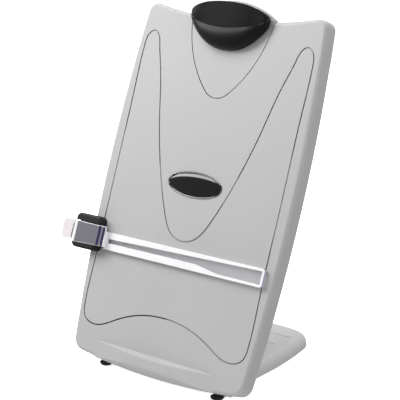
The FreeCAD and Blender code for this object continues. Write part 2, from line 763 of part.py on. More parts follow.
def engraved_points():
    """Points along the right half of the line, from the middle of the wave to the tip of the V."""
    side = number(BELLY - s.line_margin)
    start = {"wave": number(s.ledge_rise), "loop": number(s.head_rise), "v": number(s.head_rise)}
    rise = {"wave": number(s.wave_high), "loop": -number(s.loop_drop), "v": -number(s.v_drop)}
    return [(out * side, start[part] + share * rise[part]) for out, part, share in ENGRAVED_POINTS]


def bank_piece(line, start, stop, distance, steps=6):
    """A short curve that runs beside a flat curve, at the given distance to its left."""
    ways = []
    points = []
    for step in range(steps + 1):
        at = start + (stop - start) * step / steps
        middle, way = line.value(at), line.tangent(at)[0]
        crosses_middle = abs(middle.x) < number(s.line_width) / 100
        if crosses_middle:
            middle, way = V(0, middle.y, 0), V(math.copysign(1, way.x), 0, 0)
        ways.append(way)
        points.append(middle + V(-way.y, way.x, 0) * distance)
    beside = Part.BSplineCurve()
    beside.interpolate(points, InitialTangent=ways[0], FinalTangent=ways[-1])
    return beside.toShape()


def open_end(edge, end):
    """The first or the last point of a curve."""
    return edge.valueAt(edge.FirstParameter if end == 0 else edge.LastParameter)


def engraved_line():
    """The cutter for the right half of the line: two smooth banks, one line width apart."""
    points = engraved_points()
    before, after = points[1], points[-2]
    points = [(-before[0], before[1])] + points + [(-after[0], after[1])]
    line = Part.BSplineCurve()
    line.interpolate([V(x, y, 0) for x, y in points])
    stops = [line.parameter(V(x, y, 0)) for x, y in points[1:-1]]
    half = number(s.line_width) / 2
    left = [bank_piece(line, start, stop, half) for start, stop in zip(stops, stops[1:])]
    right = [bank_piece(line, start, stop, -half) for start, stop in zip(stops, stops[1:])]
    first_cap, last_cap = (
        Part.LineSegment(open_end(left[end], end), open_end(right[end], end)).toShape() for end in (0, -1)
    )
    outline = left + [last_cap] + right[::-1] + [first_cap]
    ribbon = Part.Face(Part.Wire(outline)).translated(V(0, 0, number(s.face_out - s.line_depth)))
    return ribbon.extrude(V(0, 0, number(s.line_depth) + BEYOND))


right_groove = engraved_line()
left_groove = right_groove.mirror(V(0, 0, 0), V(1, 0, 0))
grooves = [solid("right_groove", right_groove, BOARD), solid("left_groove", left_groove, BOARD)]

# opening for the clip plate, through the skin and the top wall
plate_opening = new_body("plate_opening", BOARD)
opening_outline = new_sketch(plate_opening, s.face_out - s.lobe_thick - s.fit_gap)
draw_outline(opening_outline, *plate_outline(s.seam))
pad(plate_opening, opening_outline, s.panel_depth)

front_panel = joined("panel_and_lip", panel_shell, [lip])
front_panel = without("panel_with_opening", front_panel, plate_opening)
front_panel = without("panel_with_badge_seat", front_panel, badge_seat)
front_panel = without("panel_half_engraved", front_panel, grooves[0])
front_panel = without("front_panel", front_panel, grooves[1])


# ---------------------------------------------------------------- board: badge and back cover

badge = new_body("badge", BOARD)
badge_oval = new_sketch(badge, s.face_out - s.badge_sink)
ellipse = Part.Ellipse(flat((0, s.badge_rise)), number(s.badge_width / 2), number(s.badge_height / 2))
oval = badge_oval.addGeometry(ellipse)
locate(badge_oval, oval, 3, (0, s.badge_rise))
badge_oval.exposeInternalGeometry(oval)
pad(badge, badge_oval, s.badge_sink + s.badge_proud)
round_edges(badge, s.badge_round, lambda e: above(e, s.face_out + s.badge_proud))

rear_cover = new_body("rear_cover", BOARD)
cover_inset = s.skin + s.fit_gap
cover_outline = new_sketch(rear_cover, BACK)
draw_outline(cover_outline, *panel_outline(cover_inset))
pad(rear_cover, cover_outline, s.cover_thick)
round_edges(rear_cover, s.head_corner - cover_inset, lambda e: upright(e) and in_head(e))
round_edges(rear_cover, s.foot_corner - cover_inset, lambda e: upright(e) and in_foot(e))

# recess that takes the base and the prop when they are folded in, with a wall round it
recess_level = COVER_INNER - OVERLAP
wall_height = INNER_FACE - recess_level - s.fit_gap
slot_top = PROP_REACH * 2 + s.prop_foot_radius + 0.8 * s.nest_gap
walls = new_sketch(rear_cover, recess_level)
draw_outline(walls, *base_outline(-1 * (s.nest_gap + s.recess_wall)))
pad(rear_cover, walls, wall_height)
slot_wall = new_sketch(rear_cover, recess_level)
slot_half = s.track_half + s.recess_wall
draw_box(slot_wall, -1 * slot_half, PROP_REACH, slot_half, slot_top + s.recess_wall)
pad(rear_cover, slot_wall, wall_height - s.flange_thick)
recess = new_sketch(rear_cover, BACK)
draw_outline(recess, *base_outline(-1 * s.nest_gap))
pocket(rear_cover, recess, s.panel_depth)
mouth = new_sketch(rear_cover, BACK)
mouth_half = s.base_wing + s.nest_gap
draw_box(mouth, -1 * mouth_half, -1.5 * s.foot_drop, mouth_half, s.base_front)
pocket(rear_cover, mouth, s.panel_depth)
slot = new_sketch(rear_cover, BACK)
draw_box(slot, -1 * s.track_half, PROP_REACH, s.track_half, slot_top)
pocket(rear_cover, slot, s.panel_depth)
rail = new_sketch(rear_cover, BACK)
draw_box(rail, -1 * (RAIL_IN + s.rail_width / 2), s.rail_low, s.rail_width / 2 - RAIL_IN, s.rail_high)
pocket(rear_cover, rail, s.cover_thick)
holes = new_sketch(rear_cover, BACK)
for x, y in COVER_SCREWS:
    draw_circle(holes, x, y, s.screw_radius)
pocket(rear_cover, holes, s.cover_thick)

long_screws = [screw(x, y, BACK, 1) for x, y in COVER_SCREWS]
cover_screws = solid("cover_screws", Part.makeCompound(long_screws), BOARD)


# ---------------------------------------------------------------- tilt hinge

block_far = s.block_in + s.block_width
hinge_blocks = []
for side in (1, -1):
    name = "right" if side > 0 else "left"
    hinge_block = new_body(f"{name}_hinge_block", BOARD)
    start = s.block_in if side > 0 else -1 * block_far
    profile = new_sketch(hinge_block, start, "YZ_Plane")
    draw_circle(profile, 0, 0, s.knuckle_radius)
    pad(hinge_block, profile, s.block_width)
    foot = new_sketch(hinge_block, start, "YZ_Plane")
    draw_box(foot, -1 * s.knuckle_radius, 0, s.foot_corner, INNER_FACE)
    pad(hinge_block, foot, s.block_width)
    bore = new_sketch(hinge_block, start, "YZ_Plane")
    draw_circle(bore, 0, 0, s.pin_radius + s.run_gap)
    pocket(hinge_block, bore, s.block_width)
    hinge_blocks.append(hinge_block)

ear_near = s.block_in - s.side_gap - s.ear_width
ear_far = block_far + s.side_gap
pin_reach = ear_far + s.ear_width
tilt_pins = [rod(s.pin_radius, (side * ear_near, 0, 0), (side * pin_reach, 0, 0)) for side in (1, -1)]
hinge_pins = solid("hinge_pins", Part.makeCompound(tilt_pins), Frame(-1 * s.axis_front, s.hinge_height, 0))


# ---------------------------------------------------------------- base

base_shell = new_body("base_plate")
tongue = new_sketch(base_shell)
draw_outline(tongue, *base_outline())
pad(base_shell, tongue, s.base_height)
wing_line, waist_line = number(s.base_front) + BEYOND, number(s.waist_back)


def in_tail(edge):
    return upright(edge) and edge.BoundBox.YMin > waist_line


def in_neck(edge):
    return upright(edge) and wing_line < edge.BoundBox.YMin < waist_line


round_edges(base_shell, s.tail_corner, in_tail)
round_edges(base_shell, s.neck_round, in_neck)
round_edges(base_shell, s.base_round, lambda e: above(e, s.base_height) and e.BoundBox.YMax > wing_line)
hollow(base_shell, s.base_wall, lambda face: face.BoundBox.ZMax < TOUCH)

# thicker roof under the track, the track itself and its row of notches
under_track = s.base_height - s.track_depth - s.track_floor
roof = new_sketch(base_shell, under_track)
roof_half = s.track_half + s.roof_beyond
draw_box(roof, -1 * roof_half, s.track_start - s.roof_beyond, roof_half, s.roof_end)
pad(base_shell, roof, s.base_height - s.base_wall - under_track)
track_level = s.base_height - s.track_depth
track = new_sketch(base_shell, track_level)
draw_box(track, -1 * s.track_half, s.track_start, s.track_half, s.tail_back + 2 * s.tail_bow)
pocket(base_shell, track, s.track_depth)


def prop_rest():
    """How far behind the tilt axis the prop's bar stands."""
    rise = slope_angle(s.prop_rise, PROP_REACH)
    return 2 * PROP_REACH * cosine(90 - s.lean + rise) / cosine(rise)


notch_first = prop_rest() - s.notch_pitch
notch_reach, notch_top = s.track_half - s.roof_beyond, track_level + 0.2 * s.notch_depth
notch = new_sketch(base_shell, -1 * notch_reach, "YZ_Plane")
draw_outline(notch, [
    (notch_first - s.notch_half, notch_top),
    (notch_first, track_level - s.notch_depth),
    (notch_first + s.notch_half, notch_top),
])
first_notch = pocket(base_shell, notch, 2 * notch_reach)
doc.recompute()
row_of_notches = base_shell.newObject("PartDesign::LinearPattern", "Notches")
row_of_notches.Originals = [first_notch]
row_of_notches.Direction = (origin_of(base_shell, "Y_Axis"), [""])
bind(row_of_notches, "Length", 3 * s.notch_pitch)
row_of_notches.Occurrences = 4
base_shell.Tip = row_of_notches

# ears for the tilt hinge's pins, and toes that reach forward to the feet
ear_low, ear_high = s.hinge_height - s.knuckle_radius, s.hinge_height + s.knuckle_radius
ear_root = s.base_front + s.base_wall
for near in (ear_near, ear_far, -1 * pin_reach, -1 * (ear_near + s.ear_width)):
    ear = new_sketch(base_shell, near, "YZ_Plane")
    corners = [(0, ear_low), (s.base_front / 2, ear_low), (ear_root, s.base_wall + BEYOND),
               (ear_root, s.base_height - BEYOND), (0, ear_high)]
    draw_outline(ear, corners, {4: (-1 * s.knuckle_radius, s.hinge_height)})
    draw_circle(ear, 0, s.hinge_height, s.pin_radius)
    pad(base_shell, ear, s.ear_width)
toe_top, toe_tip = s.foot_height - s.foot_roof, s.foot_back - s.toe_front
for middle in (s.toe_half, -1 * s.toe_half):
    toe = new_sketch(base_shell, s.foot_skin)
    draw_box(toe, middle - s.toe_width / 2, toe_tip, middle + s.toe_width / 2, s.base_front + BEYOND)
    pad(base_shell, toe, toe_top - s.foot_skin)

# posts for the cover's screws
BASE_SCREWS = [(s.neck_half - s.post_in, s.base_front + s.post_back),
               (s.tail_half - s.tail_post_in, s.tail_back - s.tail_post_front)]
BASE_SCREWS += [(-1 * x, y) for x, y in BASE_SCREWS]
posts = new_sketch(base_shell, s.base_cover_thick)
for x, y in BASE_SCREWS:
    draw_circle(posts, x, y, s.boss_radius)
    draw_circle(posts, x, y, s.screw_radius)
pad(base_shell, posts, s.base_height - s.base_wall - s.base_cover_thick)

base_cover = new_body("base_cover")
cover_edge = s.base_wall + s.fit_gap
lid = new_sketch(base_cover)
draw_outline(lid, *base_outline(cover_edge))
pad(base_cover, lid, s.base_cover_thick)
round_edges(base_cover, s.tail_corner - cover_edge, in_tail)
PAD_PLACES = [(side * s.tail_half / 2, s.tail_back - 2 * s.pad_radius) for side in (1, -1)]
wells = new_sketch(base_cover)
for x, y in PAD_PLACES:
    draw_circle(wells, x, y, s.pad_radius + s.fit_gap)
pocket(base_cover, wells, s.pad_depth)
lid_holes = new_sketch(base_cover)
for x, y in BASE_SCREWS:
    draw_circle(lid_holes, x, y, s.screw_radius)
pocket(base_cover, lid_holes, s.base_cover_thick)
counterbores = new_sketch(base_cover)
head_depth = s.screw_head + s.fit_gap
for x, y in BASE_SCREWS:
    draw_circle(counterbores, x, y, s.screw_head_radius + s.fit_gap)
pocket(base_cover, counterbores, head_depth)

short_screws = [screw(x, y, head_depth, 1, s.base_screw_length) for x, y in BASE_SCREWS]
base_screws = solid("base_screws", Part.makeCompound(short_screws))
tail_pads = [rod(s.pad_radius, (x, y, 0), (x, y, s.pad_depth)) for x, y in PAD_PLACES]
rear_pads = solid("rear_pads", Part.makeCompound(tail_pads))


def rubber_foot(middle):
    """A low round foot, rounded where it meets the desk, slipped over the end of its toe."""
    disc = rod(s.foot_radius, (middle, s.foot_back, 0), (middle, s.foot_back, s.foot_height))
    lower = [edge for edge in disc.Edges if edge.BoundBox.ZMax < TOUCH]
    disc = disc.makeFillet(number(s.foot_round), lower)
    half = s.toe_width / 2
    low, high = (middle - half, toe_tip, s.foot_skin), (middle + half, s.base_front, toe_top)
    return disc.cut(block(low, high))


feet = [rubber_foot(s.toe_half), rubber_foot(-1 * s.toe_half)]
front_feet = solid("front_feet", Part.makeCompound(feet))


# ---------------------------------------------------------------- prop

prop_leg = new_body("prop_leg", PROP)
leg = new_sketch(prop_leg, s.prop_thick / -2)
draw_box(leg, -1 * s.prop_half, 0, s.prop_half, PROP_REACH)
pad(prop_leg, leg, s.prop_thick)
barrel_half = s.prop_half + s.prop_barrel_beyond
barrel = new_sketch(prop_leg, -1 * barrel_half, "YZ_Plane")
draw_circle(barrel, 0, 0, s.prop_barrel)
pad(prop_leg, barrel, 2 * barrel_half)
panel_low, panel_high = s.prop_barrel + s.prop_rail, PROP_REACH - 2 * s.prop_rail
for level, backwards in ((s.prop_thick / 2, True), (s.prop_thick / -2, False)):
    web = new_sketch(prop_leg, level)
    draw_box(web, s.prop_rail - s.prop_half, panel_low, s.prop_half - s.prop_rail, panel_high)
    pocket(prop_leg, web, (s.prop_thick - s.prop_web) / 2, backwards=backwards)
prop_bore = new_sketch(prop_leg, -1 * barrel_half, "YZ_Plane")
draw_circle(prop_bore, 0, 0, s.prop_pin_radius + s.run_gap)
pocket(prop_leg, prop_bore, 2 * barrel_half)

bar = doc.addObject("Part::Cylinder", "prop_bar")
bind(bar, "Radius", s.prop_foot_radius)
bind(bar, "Height", 2 * s.prop_foot_half)
bar_place = PROP.placement() * FreeCAD.Placement(
    V(-number(s.prop_foot_half), number(PROP_REACH), 0), FreeCAD.Rotation(V(0, 1, 0), 90))
bar.Placement = bar_place
prop_foot = without("prop_foot", bar, prop_leg)

saddle_far = saddle_near + s.saddle_width
prop_pin_ends = [(side * saddle_far, PROP_REACH, s.prop_rise) for side in (-1, 1)]
prop_pin = solid("prop_pin", rod(s.prop_pin_radius, *prop_pin_ends), BOARD)


# ---------------------------------------------------------------- slider

slider_right = s.slider_width - SLIDER_LEFT
slider_web = -1 * (s.belly_width / 2 + s.edge_room)
arm_low = s.face_out + s.fit_gap
arm_top = arm_low + s.arm_thick
cheek_top = s.face_out + s.slider_top
hook_top = BACK - 2 * s.fit_gap

slider_body = new_body("slider_body", SLIDER)
web_sketch = new_sketch(slider_body, hook_top)
draw_box(web_sketch, -1 * SLIDER_LEFT, -1 * s.slider_half, slider_web, s.slider_half)
pad(slider_body, web_sketch, cheek_top - hook_top)
arm_sketch = new_sketch(slider_body, arm_low)
draw_box(arm_sketch, -1 * SLIDER_LEFT, -1 * s.slider_half, slider_right, s.slider_half)
pad(slider_body, arm_sketch, cheek_top - arm_low)


def slider_end(edge):
    """True for the upright edges at the slider's right and left ends."""
    x = edge.BoundBox.XMin
    return upright(edge) and (x > number(slider_right) - TOUCH or x < TOUCH - number(SLIDER_LEFT))


round_edges(slider_body, s.slider_corner, slider_end)
round_edges(slider_body, s.slider_round, lambda e: above(e, cheek_top))
channel = new_sketch(slider_body, arm_top)
channel_low, channel_high = -1 * (s.guide_plate_low + s.side_gap), s.guide_plate_high + s.side_gap
channel_left = -1 * (SLIDER_LEFT + BEYOND)
draw_box(channel, channel_left, channel_low, slider_right + BEYOND, channel_high)
pocket(slider_body, channel, cheek_top)
well = new_sketch(slider_body, arm_top - s.well_drop)
draw_box(well, channel_left, channel_low, -1 * (GUIDE_PIVOT + BEYOND), channel_high)
pocket(slider_body, well, cheek_top)
guide_pin_half = s.slider_half - s.guide_pin_in
screw_rise = s.slider_half - s.slider_screw_end
SLIDER_SCREWS = [(s.slider_screw_in - SLIDER_LEFT, y) for y in (screw_rise, -1 * screw_rise)]
pilot = new_sketch(slider_body, hook_top)
for x, y in SLIDER_SCREWS:
    draw_circle(pilot, x, y, s.screw_radius)
pocket(slider_body, pilot, s.screw_length - s.hook_thick)
felt_sides = (s.felt_near - BELLY, -1 * s.felt_half, s.felt_far - BELLY, s.felt_half)
seat_depth = s.felt_thick - 2 / 3 * s.fit_gap
felt_seat = new_sketch(slider_body, arm_low)
draw_box(felt_seat, *felt_sides)
pocket(slider_body, felt_seat, seat_depth)

friction_pad = new_body("friction_pad", SLIDER)
felt = new_sketch(friction_pad, arm_low + seat_depth)
draw_box(felt, *felt_sides)
pad(friction_pad, felt, s.felt_thick, backwards=True)

slider_back = new_body("slider_back", SLIDER)
hook = new_sketch(slider_back, hook_top)
draw_box(hook, -1 * SLIDER_LEFT, -1 * s.slider_half, s.hook_beyond - RAIL_IN, s.slider_half)
pad(slider_back, hook, s.hook_thick, backwards=True)
hook_low = number(hook_top - s.hook_thick)
round_edges(slider_back, s.slider_corner, upright)
round_edges(slider_back, s.hook_round, lambda e: e.BoundBox.ZMax < hook_low + TOUCH)
tongue_width = s.rail_width / 2 - s.fit_gap
neck = new_sketch(slider_back, hook_top)
draw_box(neck, -1 * (RAIL_IN + tongue_width), -1 * s.tongue_half, tongue_width - RAIL_IN, s.tongue_half)
neck_top = COVER_INNER + s.fit_gap
pad(slider_back, neck, neck_top - hook_top)
head_half = tongue_width + s.tongue_lip
tee = new_sketch(slider_back, neck_top)
draw_box(tee, -1 * (RAIL_IN + head_half), -1 * s.tongue_half, head_half - RAIL_IN, s.tongue_half)
pad(slider_back, tee, s.tongue_head)
hook_holes = new_sketch(slider_back, hook_top - s.hook_thick)
for x, y in SLIDER_SCREWS:
    draw_circle(hook_holes, x, y, s.screw_radius)
pocket(slider_back, hook_holes, s.hook_thick)
sinks = new_sketch(slider_back, hook_top - s.hook_thick)
for x, y in SLIDER_SCREWS:
    draw_circle(sinks, x, y, s.screw_head_radius + s.fit_gap)
pocket(slider_back, sinks, s.screw_head)

screw_seat = hook_top - s.hook_thick + s.screw_head
hook_screws = [screw(x, y, screw_seat, 1, s.screw_length - s.screw_head) for x, y in SLIDER_SCREWS]
slider_screws = solid("slider_screws", Part.makeCompound(hook_screws), SLIDER)

pivot_x, pivot_out = -1 * GUIDE_PIVOT, s.face_out + s.guide_pivot_out
pin_line = [(pivot_x, -1 * guide_pin_half, pivot_out), (pivot_x, guide_pin_half, pivot_out)]
guide_pin = solid("guide_pin", rod(s.guide_pin_radius, *pin_line), SLIDER)
pin_bore = solid("pin_bore", rod(s.guide_pin_radius, *pin_line), SLIDER)
slider_front = without("slider_front", slider_body, pin_bore)

spring_start = s.guide_plate_high - s.guide_spring_length
coil = rod(s.guide_barrel, (pivot_x, spring_start, pivot_out), (pivot_x, s.guide_plate_high, pivot_out))
coil = coil.cut(rod(s.guide_pin_radius + s.run_gap, *pin_line))
guide_spring = solid("guide_spring", coil, SLIDER)


# ---------------------------------------------------------------- line guide

SPRING_GAP = 0.2  # room beside the guide's spring
guide_floor = s.face_out + s.page_gap
plate_level = pivot_out - s.guide_plate_thick / 2
plate_top = plate_level + s.guide_plate_thick
bar_low, bar_high = -1 * s.guide_bar_low, s.guide_bar_height - s.guide_bar_low
plate_in = -1 * GUIDE_PLATE_IN
step_left = plate_in - s.guide_plate_thick

line_guide = new_body("line_guide", SLIDER)
plate = new_sketch(line_guide, plate_level)
draw_box(plate, -1 * GUIDE_PLATE_LEFT, -1 * s.guide_plate_low, plate_in, s.guide_plate_high)
pad(line_guide, plate, s.guide_plate_thick)
step = new_sketch(line_guide, guide_floor)
draw_box(step, step_left, -1 * s.guide_plate_low, plate_in, bar_high)
pad(line_guide, step, plate_level - guide_floor + OVERLAP)
bar_sketch = new_sketch(line_guide, guide_floor)
draw_box(bar_sketch, step_left, bar_low, GUIDE_BAR_END, bar_high)
pad(line_guide, bar_sketch, s.guide_bar_thick)
end_line = number(GUIDE_BAR_END) - TOUCH
round_edges(line_guide, s.guide_bar_corner, lambda e: upright(e) and e.BoundBox.XMin > end_line)
window = new_sketch(line_guide, guide_floor + s.guide_bar_thick)
bar_middle = (bar_low + bar_high) / 2
window_left, window_right = plate_in + s.window_start, GUIDE_BAR_END - s.window_end
draw_outline(window, [
    (window_left, bar_middle - s.window_narrow),
    (0.25 * GUIDE_BAR_END, bar_middle - s.window_narrow),
    (0.5 * GUIDE_BAR_END, bar_middle - s.window_wide),
    (window_right, bar_middle - s.window_wide),
    (window_right, bar_middle + s.window_wide),
    (0.3 * GUIDE_BAR_END, bar_middle + s.window_wide - s.window_lean),
    (window_left, bar_middle + s.window_narrow),
])
pocket(line_guide, window, s.guide_bar_thick - s.guide_web, backwards=True)
tab = new_sketch(line_guide, plate_level - s.tab_drop)
tab_root = 1.5 * BEYOND - GUIDE_PLATE_LEFT
draw_box(tab, -1 * TAB_LEFT, -1 * s.guide_plate_low, tab_root, s.guide_plate_high)
pad(line_guide, tab, s.guide_plate_thick)
tab_line = BEYOND - number(TAB_LEFT)
round_edges(line_guide, s.tab_corner, lambda e: upright(e) and e.BoundBox.XMax < tab_line)
guide_barrel_sketch = new_sketch(line_guide, s.guide_plate_low, "XZ_Plane")
draw_circle(guide_barrel_sketch, pivot_x, pivot_out, s.guide_barrel)
window_low = spring_start - SPRING_GAP
pad(line_guide, guide_barrel_sketch, s.guide_plate_low + window_low, backwards=True)
guide_bore = new_sketch(line_guide, s.guide_plate_low, "XZ_Plane")
draw_circle(guide_bore, pivot_x, pivot_out, s.guide_pin_radius + s.run_gap)
pocket(line_guide, guide_bore, s.slider_half * 2, backwards=True)
spring_window = new_sketch(line_guide, plate_level)
window_half, window_high = s.guide_barrel + 2 * SPRING_GAP, s.guide_plate_high + BEYOND
draw_box(spring_window, pivot_x - window_half, window_low, pivot_x + window_half, window_high)
pocket(line_guide, spring_window, s.guide_plate_thick)


# ---------------------------------------------------------------- clip plate and clip

clip_axis_out = s.face_out + s.clip_out
plate_skin = new_body("clip_plate_skin", BOARD)
skin_outline = new_sketch(plate_skin, INNER_FACE)
draw_outline(skin_outline, *plate_outline())
pad(plate_skin, skin_outline, s.skin)
flange_back = INNER_FACE - s.flange_thick
flange_sketch = new_sketch(plate_skin, flange_back)
draw_outline(flange_sketch, *plate_outline(s.flange))
pad(plate_skin, flange_sketch, s.flange_thick - s.fit_gap / 3)
trim_above = new_sketch(plate_skin, flange_back)
lobe_foot = s.head_rise - s.skin - s.fit_gap
draw_box(trim_above, -1 * BELLY, lobe_foot, BELLY, 2 * s.head_rise)
pocket(plate_skin, trim_above, s.flange_thick)
tie = new_sketch(plate_skin, INNER_FACE - OVERLAP)
draw_outline(tie, *plate_outline(-1 * BEYOND))
pad(plate_skin, tie, 2 * OVERLAP)
lobe_body = new_body("lobe_body", BOARD)
lobe_outline = new_sketch(lobe_body, s.face_out - s.lobe_thick)
draw_outline(lobe_outline, *plate_outline())
pad(lobe_body, lobe_outline, s.lobe_thick)
trim_below = new_sketch(lobe_body, s.face_out - s.lobe_thick)
draw_box(trim_below, -1 * BELLY, 0, BELLY, lobe_foot)
pocket(lobe_body, trim_below, s.lobe_thick)
ears = []
for near in (s.clip_ear_in, -1 * (s.clip_ear_in + s.clip_ear_width)):
    ear_body = new_body("clip_ear", BOARD)
    ear = new_sketch(ear_body, near, "YZ_Plane")
    radius = s.clip_ear_radius
    draw_outline(ear, [
        (s.clip_rise - radius, INNER_FACE), (s.clip_rise + radius, INNER_FACE),
        (s.clip_rise + radius, clip_axis_out), (s.clip_rise - radius, clip_axis_out),
    ], {2: (s.clip_rise, clip_axis_out + radius)})
    pad(ear_body, ear, s.clip_ear_width)
    ears.append(ear_body)
clip_pin_half = s.clip_ear_in + 2 * s.clip_ear_width + s.side_gap
pin_ends = [(side * clip_pin_half, s.clip_rise, clip_axis_out) for side in (-1, 1)]
clip_pin = solid("clip_pin", rod(s.clip_pin_radius, *pin_ends), BOARD)
clip_pin_hole = solid("clip_pin_hole", rod(s.clip_pin_radius, *pin_ends), BOARD)
plate_and_ears = joined("plate_and_ears", plate_skin, [lobe_body] + ears)
clip_plate = without("clip_plate", plate_and_ears, clip_pin_hole)


SHOULDER_SHARE = 0.52  # height of the clip's shoulder, as a share of its crown
CLIP_DEEP = 60         # deeper than the clip, for what cuts it


def clip_section(inset):
    """The clip's section up the board: lower lip, bulge, ridge, thumb scoop and top rim."""
    axis, out, crown = number(s.clip_rise), number(s.face_out), number(s.clip_crown)
    low, high = axis - number(s.clip_low) + inset, axis + number(s.clip_high) - inset
    back, top = out + number(s.clip_back), out + crown - inset
    lip, rim = V(0, low, back + number(s.clip_lip)), V(0, high, top - number(s.rim_sink))
    front = Part.BSplineCurve()
    front.interpolate([
        lip,
        V(0, low + number(s.shoulder_rise), out + SHOULDER_SHARE * crown - inset),
        V(0, low + number(s.bulge_rise), top - number(s.bulge_sink)),
        V(0, axis - number(s.ridge_drop), top),
        V(0, axis + number(s.scoop_start), top - number(s.scoop_start_sink)),
        V(0, axis + number(s.scoop_middle), top - number(s.scoop_sink)),
        rim,
    ])
    corners = [rim, V(0, high, back + number(s.rim_lift)), V(0, axis, back), V(0, low, back), lip]
    edges = [front.toShape()] + [Part.LineSegment(a, b).toShape() for a, b in zip(corners, corners[1:])]
    return Part.Face(Part.Wire(edges))


def clip_form(inset):
    """The clip's outside, or the hollow inside it when inset is its wall."""
    tip, out, low = number(s.clip_half), number(s.face_out), number(s.clip_rise - s.clip_low) - BEYOND
    bulk = clip_section(inset).translated(V(-tip - BEYOND, 0, 0)).extrude(V(2 * (tip + BEYOND), 0, 0))
    side = out + number(s.clip_side) - inset
    crown = out + number(s.clip_crown + s.vault_lift) - inset
    arch = Part.Arc(V(-tip, low, side), V(0, low, crown), V(tip, low, side)).toShape()
    floor = [V(tip, low, side), V(tip, low, out), V(-tip, low, out), V(-tip, low, side)]
    edges = [arch] + [Part.LineSegment(a, b).toShape() for a, b in zip(floor, floor[1:])]
    vault = Part.Face(Part.Wire(edges)).extrude(V(0, CLIP_DEEP, 0))
    corners, bulges = clip_outline(inset)
    sides = []
    for index, start in enumerate(corners):
        end = corners[(index + 1) % len(corners)]
        sides.append(Part.Arc(flat(start), flat(bulges[index]), flat(end)).toShape())
    prism = Part.Face(Part.Wire(sides)).extrude(V(0, 0, CLIP_DEEP))
    return bulk.common(vault).common(prism)


def clip_shape():
    """The clip: its form, hollowed from behind, with two ribs that ride on the pin."""
    form, tip, axis = clip_form(0), s.clip_half, s.clip_rise
    solid_end = axis - s.clip_low + s.clip_solid
    behind = block((-1 * tip, solid_end, 0), (tip, axis + CLIP_DEEP, CLIP_DEEP))
    cavity = clip_form(number(s.clip_wall)).common(behind)
    opening = cavity.translated(V(0, 0, -number(s.clip_back + s.clip_wall)))
    shell = form.cut(cavity.fuse(opening))
    radius, width = s.clip_ear_radius, s.clip_ear_width
    rib_near = s.clip_ear_in + width + s.side_gap
    ribs = []
    for near in (rib_near, -1 * (rib_near + width)):
        rib = block((near, axis - radius, clip_axis_out - radius), (near + width, axis + radius, CLIP_DEEP))
        ribs.append(rib.common(form))
    return shell.fuse(ribs).cut(rod(s.clip_pin_radius + s.run_gap, *pin_ends)).removeSplitter()


clip_jaw = solid("clip_jaw", clip_shape(), BOARD)

grip_half = s.clip_half / 6
grip_low = s.clip_rise - s.clip_low + s.clip_lip
grip_out = s.face_out + s.clip_back
grip_strip = block((-1 * grip_half, grip_low, grip_out - s.grip_thick),
                   (grip_half, grip_low + s.grip_height, grip_out))
clip_grip = solid("clip_grip", grip_strip, BOARD)

spring_half = 0.8 * s.clip_ear_in
coil_ends = [(side * spring_half, s.clip_rise, clip_axis_out) for side in (-1, 1)]
spring_coil = rod(s.clip_ear_radius - 2 * SPRING_GAP, *coil_ends)
spring_coil = spring_coil.cut(rod(s.clip_pin_radius + SPRING_GAP, *pin_ends))
leg_place = spring_half - 2 * s.clip_leg_radius
spring_legs = []
for x in (leg_place, -1 * leg_place):
    upper = (x, s.clip_rise, s.face_out + s.clip_out / 2)
    lower = (x, s.clip_rise - s.clip_low / 2, s.face_out + s.clip_leg_radius)
    spring_legs.append(rod(s.clip_leg_radius, upper, lower))
clip_spring = solid("clip_spring", spring_coil.fuse(spring_legs), BOARD)


# ---------------------------------------------------------------- check and write

PIECES = [
    base_shell, base_cover, base_screws, front_feet, rear_pads, hinge_pins,
    front_panel, rear_cover, cover_screws, badge, *hinge_blocks, prop_pin,
    clip_plate, clip_pin, clip_spring, clip_jaw, clip_grip,
    prop_leg, prop_foot,
    slider_front, slider_back, slider_screws, friction_pad, guide_pin, guide_spring, line_guide,
]

doc.recompute()
for item in doc.Objects:
    if "Invalid" in item.State or "Error" in item.State:
        raise RuntimeError(f"{item.Label} failed: {item.getStatusString()}")
for piece in PIECES:
    if piece.Shape.isNull() or not piece.Shape.isValid():
        raise RuntimeError(f"{piece.Label} has no valid shape")

os.makedirs("parts", exist_ok=True)
for piece in PIECES:
    shape = piece.Shape
    box = shape.BoundBox
    piece.Shape.exportStep(f"parts/{piece.Label}.step")
    print(f"{piece.Label:18s} {len(shape.Solids)} solids  {shape.Volume / 1000:8.2f} cm3  "
          f"x {box.XMin:7.1f} {box.XMax:7.1f}  y {box.YMin:7.1f} {box.YMax:7.1f}  "
          f"z {box.ZMin:7.1f} {box.ZMax:7.1f}")
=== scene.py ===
# %% [markdown]
# # Copy holder with line guide
# A light grey board leans back on a tongue-shaped base.  A charcoal slider on its left edge carries a
# clear line guide across the page, and a spring clip holds the page's top.  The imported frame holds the
# CAD shape of every part.  Most parts only need soft edges and the finish of what they are made of.  The
# ones that catch the light, such as the clip, the badge, the screws and the springs, are made anew.

# %% Load the frame
import json
import math

import bmesh
import bpy
from mathutils import Matrix, Vector


